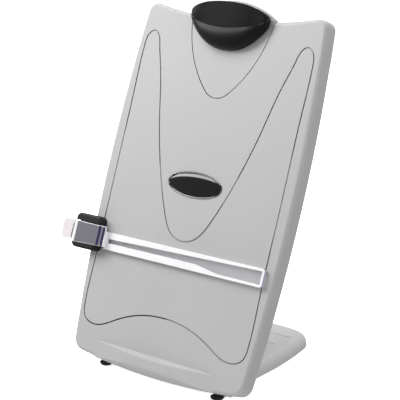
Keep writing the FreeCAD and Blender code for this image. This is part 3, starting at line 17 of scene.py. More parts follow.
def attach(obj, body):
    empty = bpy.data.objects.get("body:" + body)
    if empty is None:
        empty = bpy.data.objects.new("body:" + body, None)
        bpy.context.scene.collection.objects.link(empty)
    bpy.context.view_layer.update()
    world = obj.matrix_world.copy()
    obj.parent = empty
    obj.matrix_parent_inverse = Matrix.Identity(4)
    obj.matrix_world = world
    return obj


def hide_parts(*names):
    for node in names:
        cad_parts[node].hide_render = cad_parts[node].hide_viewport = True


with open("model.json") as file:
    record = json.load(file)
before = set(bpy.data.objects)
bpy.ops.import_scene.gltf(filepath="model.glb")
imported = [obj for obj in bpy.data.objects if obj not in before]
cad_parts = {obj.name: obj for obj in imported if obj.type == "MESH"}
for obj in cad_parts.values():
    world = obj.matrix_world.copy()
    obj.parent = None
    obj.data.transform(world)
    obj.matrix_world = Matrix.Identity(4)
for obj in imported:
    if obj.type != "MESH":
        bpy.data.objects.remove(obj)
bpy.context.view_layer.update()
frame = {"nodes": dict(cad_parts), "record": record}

# %% [markdown]
# ## Two frames
# Most pieces sit square on the leaning board, so they are easier to place in the board's own frame: x to
# the right, y up the board from the tilt axis, z out of its face, all in millimetres.  One matrix turns
# that frame into the scene's metres, and another does so for what stands on the desk.

# %% Frames
MM = 0.001
LEAN = math.radians(20)
TILT_AXIS = Vector((0, -90, 14.2)) * MM
BOARD = Matrix.Translation(TILT_AXIS) @ Matrix.Rotation(math.pi / 2 - LEAN, 4, "X") @ Matrix.Scale(MM, 4)
DESK = Matrix.Scale(MM, 4)
FACE = 8.0
BOARD_TOP = 310
print("top of the board:", [round(value, 3) for value in BOARD @ Vector((0, BOARD_TOP, FACE))])

# %% [markdown]
# ## Camera
# A long lens is the usual choice for a product, because it keeps the board's edges nearly parallel.  The
# camera stands about 1.3 m from the board, to the right of it and above, and is turned left and down.

# %% Camera
LENS, SENSOR = 135, 36
CAMERA_PLACE = (0.8400, -1.0038, 0.4702)
LOOKS_DOWN, LOOKS_LEFT = 13.85, 40.94
camera_data = bpy.data.cameras.new("camera")
camera_data.sensor_width = SENSOR
camera_data.lens = LENS
camera = bpy.data.objects.new("camera", camera_data)
camera.location = CAMERA_PLACE
camera.rotation_euler = (math.radians(90 - LOOKS_DOWN), 0, math.radians(LOOKS_LEFT))
bpy.context.collection.objects.link(camera)
bpy.context.scene.camera = camera
print("camera:", CAMERA_PLACE, "lens:", LENS, "mm")

# %% [markdown]
# ## Colours and nodes
# A hex colour is written in sRGB, but a shader works in linear light, so one function turns it.  Another
# adds a node with its settings and its links, and two more make a material round its one shader.  With
# these, each finish below is only a few lines.

# %% Colours and nodes
def linear(code):
    """An sRGB hex colour as linear red, green, blue and alpha."""
    channels = [int(code[i:i + 2], 16) / 255 for i in (1, 3, 5)]
    return [c / 12.92 if c <= 0.04045 else ((c + 0.055) / 1.055) ** 2.4 for c in channels] + [1.0]


def add_node(tree, kind, settings=None, links=None):
    """A new node, with its settings and its links from other nodes' outputs."""
    node = tree.nodes.new(kind)
    for name, value in (settings or {}).items():
        if isinstance(name, str) and hasattr(node, name):
            setattr(node, name, value)
        else:
            node.inputs[name].default_value = value
    for name, output in (links or {}).items():
        tree.links.new(output, node.inputs[name])
    return node


def new_material(name, surface):
    """A material with one Principled shader, its node tree and that shader."""
    material = bpy.data.materials.new(name)
    material.use_nodes = True
    tree = material.node_tree
    tree.nodes.clear()
    shader = add_node(tree, "ShaderNodeBsdfPrincipled", surface)
    add_node(tree, "ShaderNodeOutputMaterial", links={"Surface": shader.outputs["BSDF"]})
    return material, tree, shader


def plain_finish(name, code, roughness, surface):
    """A material of one colour and one gloss all over."""
    return new_material(name, {"Base Color": linear(code), "Roughness": roughness, **surface})[0]


print("mid grey in linear light:", [round(channel, 3) for channel in linear("#808080")[:3]])

# %% [markdown]
# ## Lights
# The light comes from a white world and from six soft rectangles.  The key, high on the left, gives the
# face its even tone.  The strip is lower and turned, so it draws a long highlight on what is glossy.  The
# fill lightens the right side, the bounce stands for what a white desk throws up, and back and rear reach
# the top edge and the back cover.  Bounce and rear are left out of reflections, so that their shapes don't
# show in what is glossy.

# %% Lights
WORLD_STRENGTH = 0.41


def add_light(name, place, target, size, watts, roll=0, in_reflections=True):
    """A soft rectangle that faces its target, turned by roll about its own line of sight."""
    light = bpy.data.lights.new(name, "AREA")
    light.shape = "RECTANGLE"
    light.size, light.size_y = size
    light.energy = watts
    lamp = bpy.data.objects.new(name, light)
    lamp.location = place
    aim = (Vector(target) - Vector(place)).to_track_quat("-Z", "Y").to_matrix()
    lamp.rotation_euler = (aim @ Matrix.Rotation(math.radians(roll), 3, "Z")).to_euler()
    lamp.visible_glossy = in_reflections
    bpy.context.collection.objects.link(lamp)


add_light("key", place=(-0.62, -0.52, 1.42), target=(0, 0, 0.15), size=(0.7, 0.7), watts=14)
add_light("strip", place=(-0.94, -0.66, 0.81), target=(0, -0.04, 0.17), size=(0.8, 0.29), watts=7, roll=40)
add_light("fill", place=(1.6, -0.3, 0.8), target=(0, 0, 0.15), size=(1.0, 1.0), watts=9)
add_light("bounce", place=(0.1, -0.55, -0.6), target=(0, -0.09, 0.02), size=(0.6, 0.6), watts=3,
          in_reflections=False)
add_light("back", place=(0.1, 0.7, 1.45), target=(0, 0.05, 0), size=(0.8, 0.8), watts=8)
add_light("rear", place=(-0.5, 1.5, 0.6), target=(0, 0.05, 0.15), size=(1.0, 1.0), watts=12,
          in_reflections=False)

world = bpy.data.worlds.new("white studio")
world.use_nodes = True
background = world.node_tree.nodes["Background"]
background.inputs["Color"].default_value = (1, 1, 1, 1)
background.inputs["Strength"].default_value = WORLD_STRENGTH
bpy.context.scene.world = world
bpy.context.scene.view_settings.view_transform = "Standard"
print("lights:", [light.name for light in bpy.data.lights])

# %% [markdown]
# ## Background paper
# White paper hangs behind the object and runs under it.  Flat paper would show a horizon from some side,
# so this one is a bowl: a floor that bends up into a wall, spun all the way round.  It glows, to stay
# white.  The camera sees it, also through the clear guide, but it takes no part in the lighting, the
# reflections or the shadows.

# %% Background paper
FLOOR_RADIUS, BEND_RADIUS, WALL_HEIGHT = 2.2, 1.0, 2.5
PAPER_GLOW = 0.7
bowl = bmesh.new()
floor_middle = bowl.verts.new((0, 0, 0))
floor_end = bmesh.ops.extrude_vert_indiv(bowl, verts=[floor_middle])["verts"]
bmesh.ops.translate(bowl, verts=floor_end, vec=(0, FLOOR_RADIUS, 0))
bend = bmesh.ops.spin(bowl, geom=floor_end, cent=(0, FLOOR_RADIUS, BEND_RADIUS), axis=(1, 0, 0),
                      angle=math.pi / 2, steps=16)
wall_end = bmesh.ops.extrude_vert_indiv(bowl, verts=bend["geom_last"])["verts"]
bmesh.ops.translate(bowl, verts=wall_end, vec=(0, 0, WALL_HEIGHT))
bmesh.ops.spin(bowl, geom=bowl.verts[:] + bowl.edges[:], cent=(0, 0, 0), axis=(0, 0, 1),
               angle=2 * math.pi, steps=64, use_merge=True)
bmesh.ops.remove_doubles(bowl, verts=bowl.verts[:], dist=0.0001)
bmesh.ops.recalc_face_normals(bowl, faces=bowl.faces[:])
bmesh.ops.reverse_faces(bowl, faces=bowl.faces[:])
sweep_data = bpy.data.meshes.new("sweep")
bowl.to_mesh(sweep_data)
bowl.free()
sweep_data.shade_smooth()
sweep_data.materials.append(plain_finish("lit_white_background_paper", "#FCFCFC", 0.9, {
    "Emission Color": linear("#FFFFFF"), "Emission Strength": PAPER_GLOW}))
sweep = bpy.data.objects.new("sweep", sweep_data)
bpy.context.collection.objects.link(sweep)
sweep.visible_diffuse = False
sweep.visible_glossy = False
sweep.visible_shadow = False
print("paper:", len(sweep_data.polygons), "faces")

# %% [markdown]
# ## Moulded plastic, rubber and felt
# The board and the base are injection-moulded ABS.  Their mould is spark-eroded, which leaves a fine, even
# grain: the highlights are broad and soft, and nothing mirrors.  Only the badge's seat is polished, and its
# chamfer is painted near white, a painted highlight.  The walls and floors of grooves get painted shade, a
# darker grey of the same plastic.  The clip is black ABS with a coarser grain and a dim, satin shine, and
# the slider is charcoal.  Rubber is duller than they are, and pressed felt has no shine, only the pale rim
# of its loose fibres.  The real grains are about 0.2 mm, finer than a pixel here, so all are drawn coarser,
# the board's at 1.1 mm, and kept shallow.  One slow noise gives the faint unevenness in tone and gloss that
# a large moulding has.

# %% Grained plastics
ABS = {"IOR": 1.53}
BOARD_GRAIN, BOARD_DEPTH, POLISHED_DEPTH = 1.1, 0.02, 0.004
CLOUD_SIZE = 70


def grained_plastic(name, code, roughness, grain, depth, surface):
    """A moulded finish whose grain has that size and depth in millimetres."""
    material, tree, shader = new_material(name, surface)
    place = {"Vector": add_node(tree, "ShaderNodeTexCoord").outputs["Object"]}
    grit = add_node(tree, "ShaderNodeTexNoise",
                    {"Scale": 1 / (grain * MM), "Detail": 3.0, "Roughness": 0.6}, place).outputs["Fac"]
    cloud = add_node(tree, "ShaderNodeTexNoise",
                     {"Scale": 1 / (CLOUD_SIZE * MM), "Detail": 2.0}, place).outputs["Fac"]
    tone = add_node(tree, "ShaderNodeMapRange",
                    {"To Min": 0.965, "To Max": 1.035}, {"Value": cloud}).outputs["Result"]
    speck = add_node(tree, "ShaderNodeMapRange",
                     {"From Min": 0.3, "From Max": 0.7, "To Min": 0.985, "To Max": 1.015},
                     {"Value": grit}).outputs["Result"]
    shade = add_node(tree, "ShaderNodeMath", {"operation": "MULTIPLY"}, {0: tone, 1: speck}).outputs["Value"]
    colour = add_node(tree, "ShaderNodeVectorMath",
                      {"operation": "SCALE", 0: linear(code)[:3]}, {"Scale": shade}).outputs["Vector"]
    dull, shiny = roughness + 0.06, roughness - 0.05
    gloss = add_node(tree, "ShaderNodeMapRange",
                     {"From Min": 0.3, "From Max": 0.7, "To Min": shiny, "To Max": dull},
                     {"Value": cloud}).outputs["Result"]
    bump = add_node(tree, "ShaderNodeBump",
                    {"Strength": 1.0, "Distance": depth * MM}, {"Height": grit}).outputs["Normal"]
    tree.links.new(colour, shader.inputs["Base Color"])
    tree.links.new(gloss, shader.inputs["Roughness"])
    tree.links.new(bump, shader.inputs["Normal"])
    return material


board_abs = grained_plastic("grained_light_grey_abs", "#B1B1B1", 0.48, BOARD_GRAIN, BOARD_DEPTH, ABS)
base_abs = grained_plastic("grained_grey_abs_base", "#BDBDBD", 0.50, BOARD_GRAIN, BOARD_DEPTH, ABS)
# Painted shade: the walls and floors of grooves and seams get this darker grey in place of the shade inside
# them.
groove_painted_shade = grained_plastic("grey_abs_groove_painted_shade", "#484848", 0.60, BOARD_GRAIN, BOARD_DEPTH, ABS)
# Painted highlight: the seat's chamfer is polished and also painted near white, so that it shows as a pale
# ring.
seat_painted_highlight = grained_plastic("polished_grey_abs_painted_highlight", "#F2F2F2", 0.22, BOARD_GRAIN, POLISHED_DEPTH, ABS)
clip_abs = grained_plastic("satin_black_abs", "#060607", 0.42, 1.3, 0.07, {"Specular IOR Level": 0.27})
slider_abs = grained_plastic("grained_charcoal_abs", "#111113", 0.40, 1.0, 0.025,
                             {"Specular IOR Level": 0.35})
rubber = grained_plastic("moulded_black_rubber", "#161616", 0.72, 0.8, 0.03, {"IOR": 1.52})
felt = grained_plastic("pressed_black_felt", "#191919", 0.95, 0.6, 0.12, {"Sheen Weight": 0.5})
moulded = (board_abs, base_abs, groove_painted_shade, seat_painted_highlight, clip_abs, slider_abs, rubber, felt)
print("moulded finishes:", [material.name for material in moulded])

# %% [markdown]
# ## Clear acrylic
# The line guide is one moulding of clear acrylic with polished faces.  Its finish refracts with the IOR of
# acrylic, 1.49, and has a trace of violet.  An alpha of 0.3 also lets most of the light go straight
# through, as it nearly does in a thin web.  Where the moulding is thick or cut it doesn't look clear, so
# those faces have finishes of their own: ribs painted almost white, a painted highlight for the light they
# gather, the hazed plate and its milky end, and edges where the violet of the bulk shows, as painted shade
# in two dark lines or pale at the bar's end.

# %% Clear acrylic
ACRYLIC = {"IOR": 1.49}
acrylic = plain_finish("polished_clear_acrylic", "#F4F3FA", 0.04, {
    **ACRYLIC, "Transmission Weight": 1.0, "Alpha": 0.3})
# Painted highlight: ribs and rims are painted almost white for the light they gather.
rib_painted_highlight = plain_finish("acrylic_rib_painted_highlight", "#FDFDFF", 0.16, {
    **ACRYLIC, "Transmission Weight": 0.15})
hazed = plain_finish("hazed_violet_acrylic", "#706F78", 0.22, ACRYLIC)
milky = plain_finish("milky_pink_acrylic", "#E8E0E3", 0.2, {**ACRYLIC, "Alpha": 0.8})
# Painted shade: the two dark lines at the plate's step.
step_lines_painted_shade = plain_finish("dark_violet_acrylic_painted_shade", "#2C2850", 0.12, ACRYLIC)
violet_end = plain_finish("pale_violet_acrylic_end", "#B4AECB", 0.2, ACRYLIC)
acrylics = (acrylic, rib_painted_highlight, hazed, milky, step_lines_painted_shade, violet_end)
print("acrylics:", [material.name for material in acrylics])

# %% [markdown]
# ## Enamel and metal
# The badge is black enamel, poured and baked, so its surface is one smooth coat that mirrors the lights.
# Wiping leaves its gloss a little uneven.  The screws are zinc-plated steel, pale and slightly dull.  The
# pins are drawn steel rod, and the springs are darker wire with oil on it.  Fine streaks in their gloss
# come from plating and drawing.

# %% Enamel and metals
WIPE_SIZE = 6


def metal(name, code, roughness, streak):
    """Metal with fine streaks of that size in millimetres in its polish."""
    material, tree, shader = new_material(name, {"Base Color": linear(code), "Metallic": 1.0})
    place = add_node(tree, "ShaderNodeTexCoord").outputs["Object"]
    marks = add_node(tree, "ShaderNodeTexNoise",
                     {"Scale": 1 / (streak * MM), "Detail": 5.0}, {"Vector": place}).outputs["Fac"]
    dull, shiny = roughness + 0.15, roughness - 0.1
    gloss = add_node(tree, "ShaderNodeMapRange",
                     {"To Min": shiny, "To Max": dull}, {"Value": marks}).outputs["Result"]
    tree.links.new(gloss, shader.inputs["Roughness"])
    return material


enamel, enamel_tree, enamel_shader = new_material("glossy_black_enamel", {
    "Base Color": linear("#030303"), "IOR": 1.5, "Specular IOR Level": 0.15,
    "Coat Weight": 0.75, "Coat Roughness": 0.03})
enamel_place = add_node(enamel_tree, "ShaderNodeTexCoord").outputs["Object"]
wipe = add_node(enamel_tree, "ShaderNodeTexNoise",
                {"Scale": 1 / (WIPE_SIZE * MM), "Detail": 4.0}, {"Vector": enamel_place}).outputs["Fac"]
wiped_gloss = add_node(enamel_tree, "ShaderNodeMapRange",
                       {"To Min": 0.06, "To Max": 0.14}, {"Value": wipe}).outputs["Result"]
enamel_tree.links.new(wiped_gloss, enamel_shader.inputs["Roughness"])

zinc = metal("zinc_plated_steel", "#B8BABD", 0.32, 0.8)
drawn_steel = metal("drawn_steel_rod", "#A9ABAF", 0.25, 0.5)
spring_wire = metal("oiled_spring_wire", "#6E6F73", 0.35, 0.4)
print("enamel and metals:", [material.name for material in (enamel, zinc, drawn_steel, spring_wire)])

# %% [markdown]
# ## Finishes by slot
# The part's record gives each CAD node a material slot.  One table says which finish a slot gets, so a
# piece that stands for a node finds its finish by itself.

# %% Finishes by slot
FINISH = {
    "board_plastic": board_abs, "base_plastic": base_abs, "clip_plastic": clip_abs,
    "slider_plastic": slider_abs, "clear_acrylic": acrylic, "badge_enamel": enamel, "black_rubber": rubber,
    "felt": felt, "pin_steel": drawn_steel, "screw_steel": zinc, "spring_steel": spring_wire,
}
SLOT = {part["node"]: part["material_slot"] for part in frame["record"]["subparts"]}
print("slots in use:", sorted(set(SLOT.values())))

# %% [markdown]
# ## Making a piece
# Each new piece is drawn in millimetres in its own frame and moved into the scene by one matrix, so its
# object can stay at the origin.  A copy of a CAD shape is in place already.  A piece is shaded smooth with
# its sharp edges kept, and weighting the normals by face area keeps broad flat faces even.  Then it is set
# to ride on its body in place of its CAD node.

# %% Piece helpers
def finish_piece(name, mesh, place, body, node, sharp=35, finishes=None):
    """Turns a bmesh into a piece that rides on a body and stands for a CAD node."""
    bmesh.ops.transform(mesh, matrix=place, verts=mesh.verts[:])
    data = bpy.data.meshes.new(name)
    mesh.to_mesh(data)
    mesh.free()
    for material in finishes or [FINISH[SLOT[node]]]:
        data.materials.append(material)
    data.shade_smooth()
    data.set_sharp_from_angle(angle=math.radians(sharp))
    piece = bpy.data.objects.new(name, data)
    bpy.context.collection.objects.link(piece)
    piece.modifiers.new("even shading", "WEIGHTED_NORMAL").keep_sharp = True
    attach(piece, body)
    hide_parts(node)
    print(name, len(data.polygons), "faces")
    return piece


def points_of(geometry):
    """The vertices in what an operator returned."""
    return [item for item in geometry if isinstance(item, bmesh.types.BMVert)]


def open_edges(mesh):
    """The edges that have a face on one side only."""
    return [edge for edge in mesh.edges if edge.is_boundary]


def bevelled(mesh, edges, offset, segments, clamp=False):
    """Bevels edges with a round profile and the neighbours' finish."""
    bmesh.ops.bevel(mesh, geom=edges, offset=offset, offset_type="OFFSET", affect="EDGES",
                    segments=segments, profile=0.5, material=-1, clamp_overlap=clamp)


# %% [markdown]
# ## Badge
# The badge is a domed oval of black enamel, left bare.  It could be a flattened sphere, but a sphere's rim
# is upright.  Here only the sphere's upper half is kept, and a power a little over a sphere's own 0.5 makes
# the rim lean in, so that it catches a thin line of light.  A skirt takes it below the board's face, where
# it is closed.

# %% Badge
BADGE_Y = 161.6
BADGE_HALF_LENGTH, BADGE_HALF_HEIGHT, BADGE_RISE = 29.4, 10.2, 1.25
BADGE_SKIRT, DOME_POWER = 0.9, 0.62

badge = bmesh.new()
bmesh.ops.create_uvsphere(badge, u_segments=96, v_segments=48, radius=1)
bmesh.ops.delete(badge, geom=[v for v in badge.verts if v.co.z < -0.01], context="VERTS")
badge_rim = open_edges(badge)
for point in badge.verts:
    point.co.z = max(1 - point.co.x ** 2 - point.co.y ** 2, 0) ** DOME_POWER
bmesh.ops.scale(badge, vec=(BADGE_HALF_LENGTH, BADGE_HALF_HEIGHT, BADGE_RISE), verts=badge.verts[:])
skirt = bmesh.ops.extrude_edge_only(badge, edges=badge_rim)["geom"]
bmesh.ops.translate(badge, verts=points_of(skirt), vec=(0, 0, -BADGE_SKIRT))
bmesh.ops.holes_fill(badge, edges=open_edges(badge), sides=0)
bmesh.ops.recalc_face_normals(badge, faces=badge.faces[:])
badge_place = BOARD @ Matrix.Translation((0, BADGE_Y, FACE))
finish_piece("badge_dome", badge, badge_place, "board", "badge", sharp=60)

# %% [markdown]
# ## Clip
# The clip is a boat-shaped dome, about 90 mm across.  Its upper part is scooped out for a thumb.  The
# scoop's lower side is a crease that curves like a smile and fades before it reaches the tips.  A crease
# cut into a finished dome would leave ragged faces, so the shape starts as a grid instead: each point
# slides to its place between the clip's lower and upper outline, one row of points runs along the crease,
# and the height is a dome less the scoop.

# %% Clip outline
# Each point of an outline is the share of the way from the middle to the tip, and the height up the board.
CLIP_HALF = 44.1
TIP = (1, 311.2)
LOW_EDGE = [(0, 282.7), (0.122, 283.2), (0.246, 285.1), (0.328, 287.3), (0.433, 291.0), (0.553, 295.8),
            (0.713, 301.6), (0.85, 306.0), TIP]
HIGH_EDGE = [(0, 323.9), (0.171, 323.5), (0.355, 322.2), (0.551, 319.6), (0.755, 316.4), (0.9, 314.0), TIP]
CREASE = [(0, 300.4), (0.195, 301.3), (0.407, 303.5), (0.611, 306.2), (0.755, 308.3), TIP]


def curve_at(outline, share):
    """Height of the smooth curve through an outline's points, level at its first one."""
    spot = max(i for i in range(len(outline) - 1) if outline[i][0] <= share)
    (x0, y0), (x1, y1) = outline[spot], outline[spot + 1]
    before, after = outline[max(spot - 1, 0)], outline[min(spot + 2, len(outline) - 1)]
    slope0 = (y1 - before[1]) / (x1 - before[0]) if spot else 0
    slope1 = (after[1] - y0) / (after[0] - x0)
    run, t = x1 - x0, (share - x0) / (x1 - x0)
    return ((2 * t ** 3 - 3 * t ** 2 + 1) * y0 + (t ** 3 - 2 * t ** 2 + t) * run * slope0
            + (3 * t ** 2 - 2 * t ** 3) * y1 + (t ** 3 - t ** 2) * run * slope1)


print("clip's height at its middle:", round(curve_at(HIGH_EDGE, 0) - curve_at(LOW_EDGE, 0), 1), "mm")

# %% Clip height
# How far each line of the clip stands off the board's face, in the middle and at the tips.
LIP_MIDDLE, LIP_TIP = 1.6, 4.0
CREST_MIDDLE, CREST_TIP = 13.0, 4.6
TOP_MIDDLE, TOP_TIP, TOP_POWER = 12.8, 4.8, 2.2
# The lower bulge is round up to a share of the way to the crease, and drops a little just before it.
BULGE_ROUND, BULGE_POWER = 0.82, 2.1
CREST_DROP, DROP_FROM = 0.3, 0.7
# The scoop is deepest at the crease, behind a short step.  Towards the tips it fades into a plain dome.
SCOOP_DEPTH, SCOOP_STEP = 5.0, 0.09
FADE_END, FADE_LENGTH = 0.80, 0.42
PLAIN_DOME_POWER = 2.3


def ease(value):
    """0 below 0, 1 above 1, and a smooth slope between."""
    value = min(max(value, 0.0), 1.0)
    return value * value * (3 - 2 * value)


def arch(middle, tip, out, power=2.0):
    """A height that goes from the clip's middle to its tip along an arch."""
    return tip + (middle - tip) * (1 - out ** power)


def clip_height(out, up, crease):
    """How far the clip stands off the face: out goes to its tip, up from its lower edge to its upper."""
    lip, crest = arch(LIP_MIDDLE, LIP_TIP, out), arch(CREST_MIDDLE, CREST_TIP, out)
    top = arch(TOP_MIDDLE, TOP_TIP, out, TOP_POWER)
    crease_height = crest - arch(CREST_DROP, 0, out)
    dome = lip + (max(crest, top) - lip) * math.sqrt(1 - (1 - up) ** PLAIN_DOME_POWER)
    if up <= crease:
        near = up / crease
        shaped = lip + (crest - lip) * math.sqrt(1 - max(1 - near / BULGE_ROUND, 0) ** BULGE_POWER)
        shaped -= (crest - crease_height) * max((near - DROP_FROM) / (1 - DROP_FROM), 0) ** 2
    else:
        back = (up - crease) / (1 - crease)
        scoop = top - SCOOP_DEPTH * (1 - back)
        shaped = crease_height + (scoop - crease_height) * ease(back / SCOOP_STEP)
    return dome + (shaped - dome) * ease((FADE_END - out) / FADE_LENGTH)


print("clip's upper edge stands off the face:", clip_height(0, 1, 0.5), "mm")

# %% Clip
CLIP_COLUMNS, CLIP_ROWS = 120, 88
CLIP_WALL, LOWER_RIM = 1.0, 0.7
UPPER_RIM_TIP, UPPER_RIM_ARCH = 3.7, 1.8
MERGE_TIPS, TOO_SHORT, ON_OUTLINE = 0.08, 0.01, 0.01
# The outlines meet at the tips.  This hair's breadth keeps the shares there from dividing by nothing.
TIP_GAP = 0.001

clip = bmesh.new()
bmesh.ops.create_grid(clip, x_segments=CLIP_COLUMNS, y_segments=CLIP_ROWS, size=1)
for point in clip.verts:
    out, up = abs(point.co.x), (point.co.y + 1) / 2
    low, high = curve_at(LOW_EDGE, out), curve_at(HIGH_EDGE, out)
    crease = (curve_at(CREASE, out) - low + TIP_GAP) / (high - low + 3 * TIP_GAP)
    # The middle row moves on to the crease, and the other rows spread out evenly on its two sides.
    up = up * crease / 0.5 if up <= 0.5 else crease + (up - 0.5) * (1 - crease) / 0.5
    across = CLIP_HALF * math.sin(point.co.x * math.pi / 2)
    point.co = Vector((across, low + (high - low) * up, FACE + clip_height(out, up, crease)))
bmesh.ops.remove_doubles(clip, verts=clip.verts[:], dist=MERGE_TIPS)
bmesh.ops.dissolve_degenerate(clip, dist=TOO_SHORT, edges=clip.edges[:])
skirt = bmesh.ops.extrude_edge_only(clip, edges=open_edges(clip))["geom"]
for point in points_of(skirt):
    share = 2 / math.pi * math.asin(min(abs(point.co.x) / CLIP_HALF, 1))
    upper = point.co.y > curve_at(HIGH_EDGE, share) - ON_OUTLINE
    rim_height = FACE + UPPER_RIM_TIP + UPPER_RIM_ARCH * (1 - (point.co.x / CLIP_HALF) ** 2)
    point.co.z = rim_height if upper else point.co.z - LOWER_RIM
bmesh.ops.recalc_face_normals(clip, faces=clip.faces[:])
clip_shell = finish_piece("clip_shell", clip, BOARD, "clip", "clip_jaw", sharp=42)
# The wall grows inwards, and has to come before the modifier that evens the shading.
wall = clip_shell.modifiers.new("wall", "SOLIDIFY")
wall.thickness = CLIP_WALL * MM
wall.offset = -1
clip_shell.modifiers.move(1, 0)

# %% [markdown]
# ## Softened copies
# The other parts keep their CAD shapes, but a moulded or a turned edge is never quite sharp: it catches a
# thin line of light.  A CAD mesh is loose triangles, which can't be bevelled.  So each copy has its doubles
# merged and its flat faces joined first, and then its sharp edges are bevelled.

# %% Softened copies
MERGE_WITHIN = 0.002 * MM
FLAT_WITHIN, SHARP_FROM = math.radians(0.8), math.radians(30)
NO_MOVE = Matrix.Identity(4)
SOFT_EDGES = [
    ("base_moulding", "base_plate", "base", 0.5), ("base_underside", "base_cover", "base", 0.3),
    ("rear_foot_pads", "rear_pads", "base", 0.4), ("tilt_pins", "hinge_pins", "base", 0.3),
    ("back_cover", "rear_cover", "board", 0.5), ("right_hinge", "right_hinge_block", "board", 0.4),
    ("left_hinge", "left_hinge_block", "board", 0.4), ("prop_rod", "prop_pin", "board", 0.2),
    ("clip_mount", "clip_plate", "board", 0.35), ("clip_rod", "clip_pin", "board", 0.2),
    ("clip_pad", "clip_grip", "clip", 0.3),
    ("prop_strut", "prop_leg", "prop", 0.5), ("prop_bar", "prop_foot", "prop", 0.4),
    ("slider_shell", "slider_front", "slider", 0.5), ("slider_hook", "slider_back", "slider", 0.4),
    ("slider_felt", "friction_pad", "slider", 0.3), ("guide_rod", "guide_pin", "slider", 0.15),
]


def softened(node, radius):
    """A copy of a CAD node with its sharp edges rounded by a radius in millimetres."""
    mesh = bmesh.new()
    mesh.from_mesh(frame["nodes"][node].data)
    bmesh.ops.remove_doubles(mesh, verts=mesh.verts[:], dist=MERGE_WITHIN)
    bmesh.ops.dissolve_limit(mesh, angle_limit=FLAT_WITHIN, verts=mesh.verts[:], edges=mesh.edges[:])
    sharp_edges = [e for e in mesh.edges if len(e.link_faces) == 2 and e.calc_face_angle() > SHARP_FROM]
    bevelled(mesh, sharp_edges, radius * MM, segments=3, clamp=True)
    return mesh


for name, node, body, radius in SOFT_EDGES:
    finish_piece(name, softened(node, radius), NO_MOVE, body, node, sharp=50)

# %% [markdown]
# ## Screws
# The shells are held by zinc-plated pan-head screws with a cross recess.  A cross could be cut out of the
# head, but building outwards from it leaves cleaner faces: a grid of three by three faces without its
# corners is the cross, the flat of the head is filled round it, and the cross is pushed in.

# %% Screw
CROSS_HALF, FLAT_RADIUS, RECESS = 1.15, 1.9, 0.8
# Only the corner faces' middles have both an x and a y, so that x times y isn't 0.
CORNER_FROM = 0.1
HEAD_SHOULDER, HEAD_RADIUS, SHANK_RADIUS = 2.25, 2.4, 1.1
SHOULDER_DEPTH, ROUND_DEPTH, HEAD_DEPTH = 0.25, 0.7, 1.5


def bare_screw(length):
    """A pan-head screw that points along +z from the middle of its head."""
    screw = bmesh.new()
    bmesh.ops.create_grid(screw, x_segments=3, y_segments=3, size=CROSS_HALF)
    middles = {face: face.calc_center_median() for face in screw.faces}
    corners = [face for face, middle in middles.items() if abs(middle.x * middle.y) > CORNER_FROM]
    bmesh.ops.delete(screw, geom=corners, context="FACES")
    cross, outline = screw.faces[:], open_edges(screw)
    ring = bmesh.ops.create_circle(screw, segments=32, radius=FLAT_RADIUS)["verts"]
    rim = list({e for v in ring for e in v.link_edges})
    bmesh.ops.triangle_fill(screw, edges=outline + rim, use_beauty=True)
    pushed = bmesh.ops.extrude_face_region(screw, geom=cross)["geom"]
    bmesh.ops.delete(screw, geom=[f for f in cross if f.is_valid], context="FACES")
    bmesh.ops.translate(screw, verts=points_of(pushed), vec=(0, 0, RECESS))
    for radius, depth in ((HEAD_SHOULDER, SHOULDER_DEPTH), (HEAD_RADIUS, ROUND_DEPTH),
                          (HEAD_RADIUS, HEAD_DEPTH), (SHANK_RADIUS, HEAD_DEPTH), (SHANK_RADIUS, length)):
        grown = bmesh.ops.extrude_edge_only(screw, edges=rim)["geom"]
        ring = points_of(grown)
        rim = [e for e in grown if isinstance(e, bmesh.types.BMEdge) and all(v in ring for v in e.verts)]
        for point in ring:
            point.co = Vector((point.co.x, point.co.y, 0)).normalized() * radius + Vector((0, 0, depth))
    bmesh.ops.holes_fill(screw, edges=rim, sides=0)
    bmesh.ops.recalc_face_normals(screw, faces=screw.faces[:])
    return screw


# %% [markdown]
# The screws of one shell are one piece.  Each is a copy of the same mesh, and a turn of 0.7 radians from
# one to the next keeps their crosses from standing in line, as they never do when driven by hand.

# %% Screw sets
SCREW_TURN = 0.7
COVER_LENGTH, SLIDER_LENGTH, BASE_LENGTH = 9.5, 8.0, 6.9
COVER_SCREW_Z, SLIDER_SCREW_Z, BASE_SCREW_Z = -7.5, -9.4, 0.3
COVER_SCREWS = [(x, y, COVER_SCREW_Z) for x, y in (
    (88.5, 12), (93.5, 110.5), (91.5, 221), (77.5, 301), (-82, 12), (-80, 110.5), (-80, 221), (-77.5, 301))]
SLIDER_SCREWS = [(-116.5, y, SLIDER_SCREW_Z) for y in (89.4, 111.4)]
BASE_SCREWS = [(side * x, y, BASE_SCREW_Z) for x, y in ((52.3, -58.5), (34, 54)) for side in (1, -1)]


def screw_set(name, places, length, frame_matrix, body, node):
    """The same screw at several places, as one piece."""
    screws, one, data = bmesh.new(), bare_screw(length), bpy.data.meshes.new("screw")
    one.to_mesh(data)
    one.free()
    for count, spot in enumerate(places):
        before = len(screws.verts)
        screws.from_mesh(data)
        screws.verts.ensure_lookup_table()
        turned = Matrix.Translation(spot) @ Matrix.Rotation(SCREW_TURN * count, 4, "Z")
        bmesh.ops.transform(screws, matrix=turned, verts=screws.verts[before:])
    bpy.data.meshes.remove(data)
    finish_piece(name, screws, frame_matrix, body, node, sharp=40)


screw_set("cover_pan_screws", COVER_SCREWS, COVER_LENGTH, BOARD, "board", "cover_screws")
screw_set("slider_pan_screws", SLIDER_SCREWS, SLIDER_LENGTH, BOARD, "slider", "slider_screws")
screw_set("base_pan_screws", BASE_SCREWS, BASE_LENGTH, DESK, "base", "base_screws")

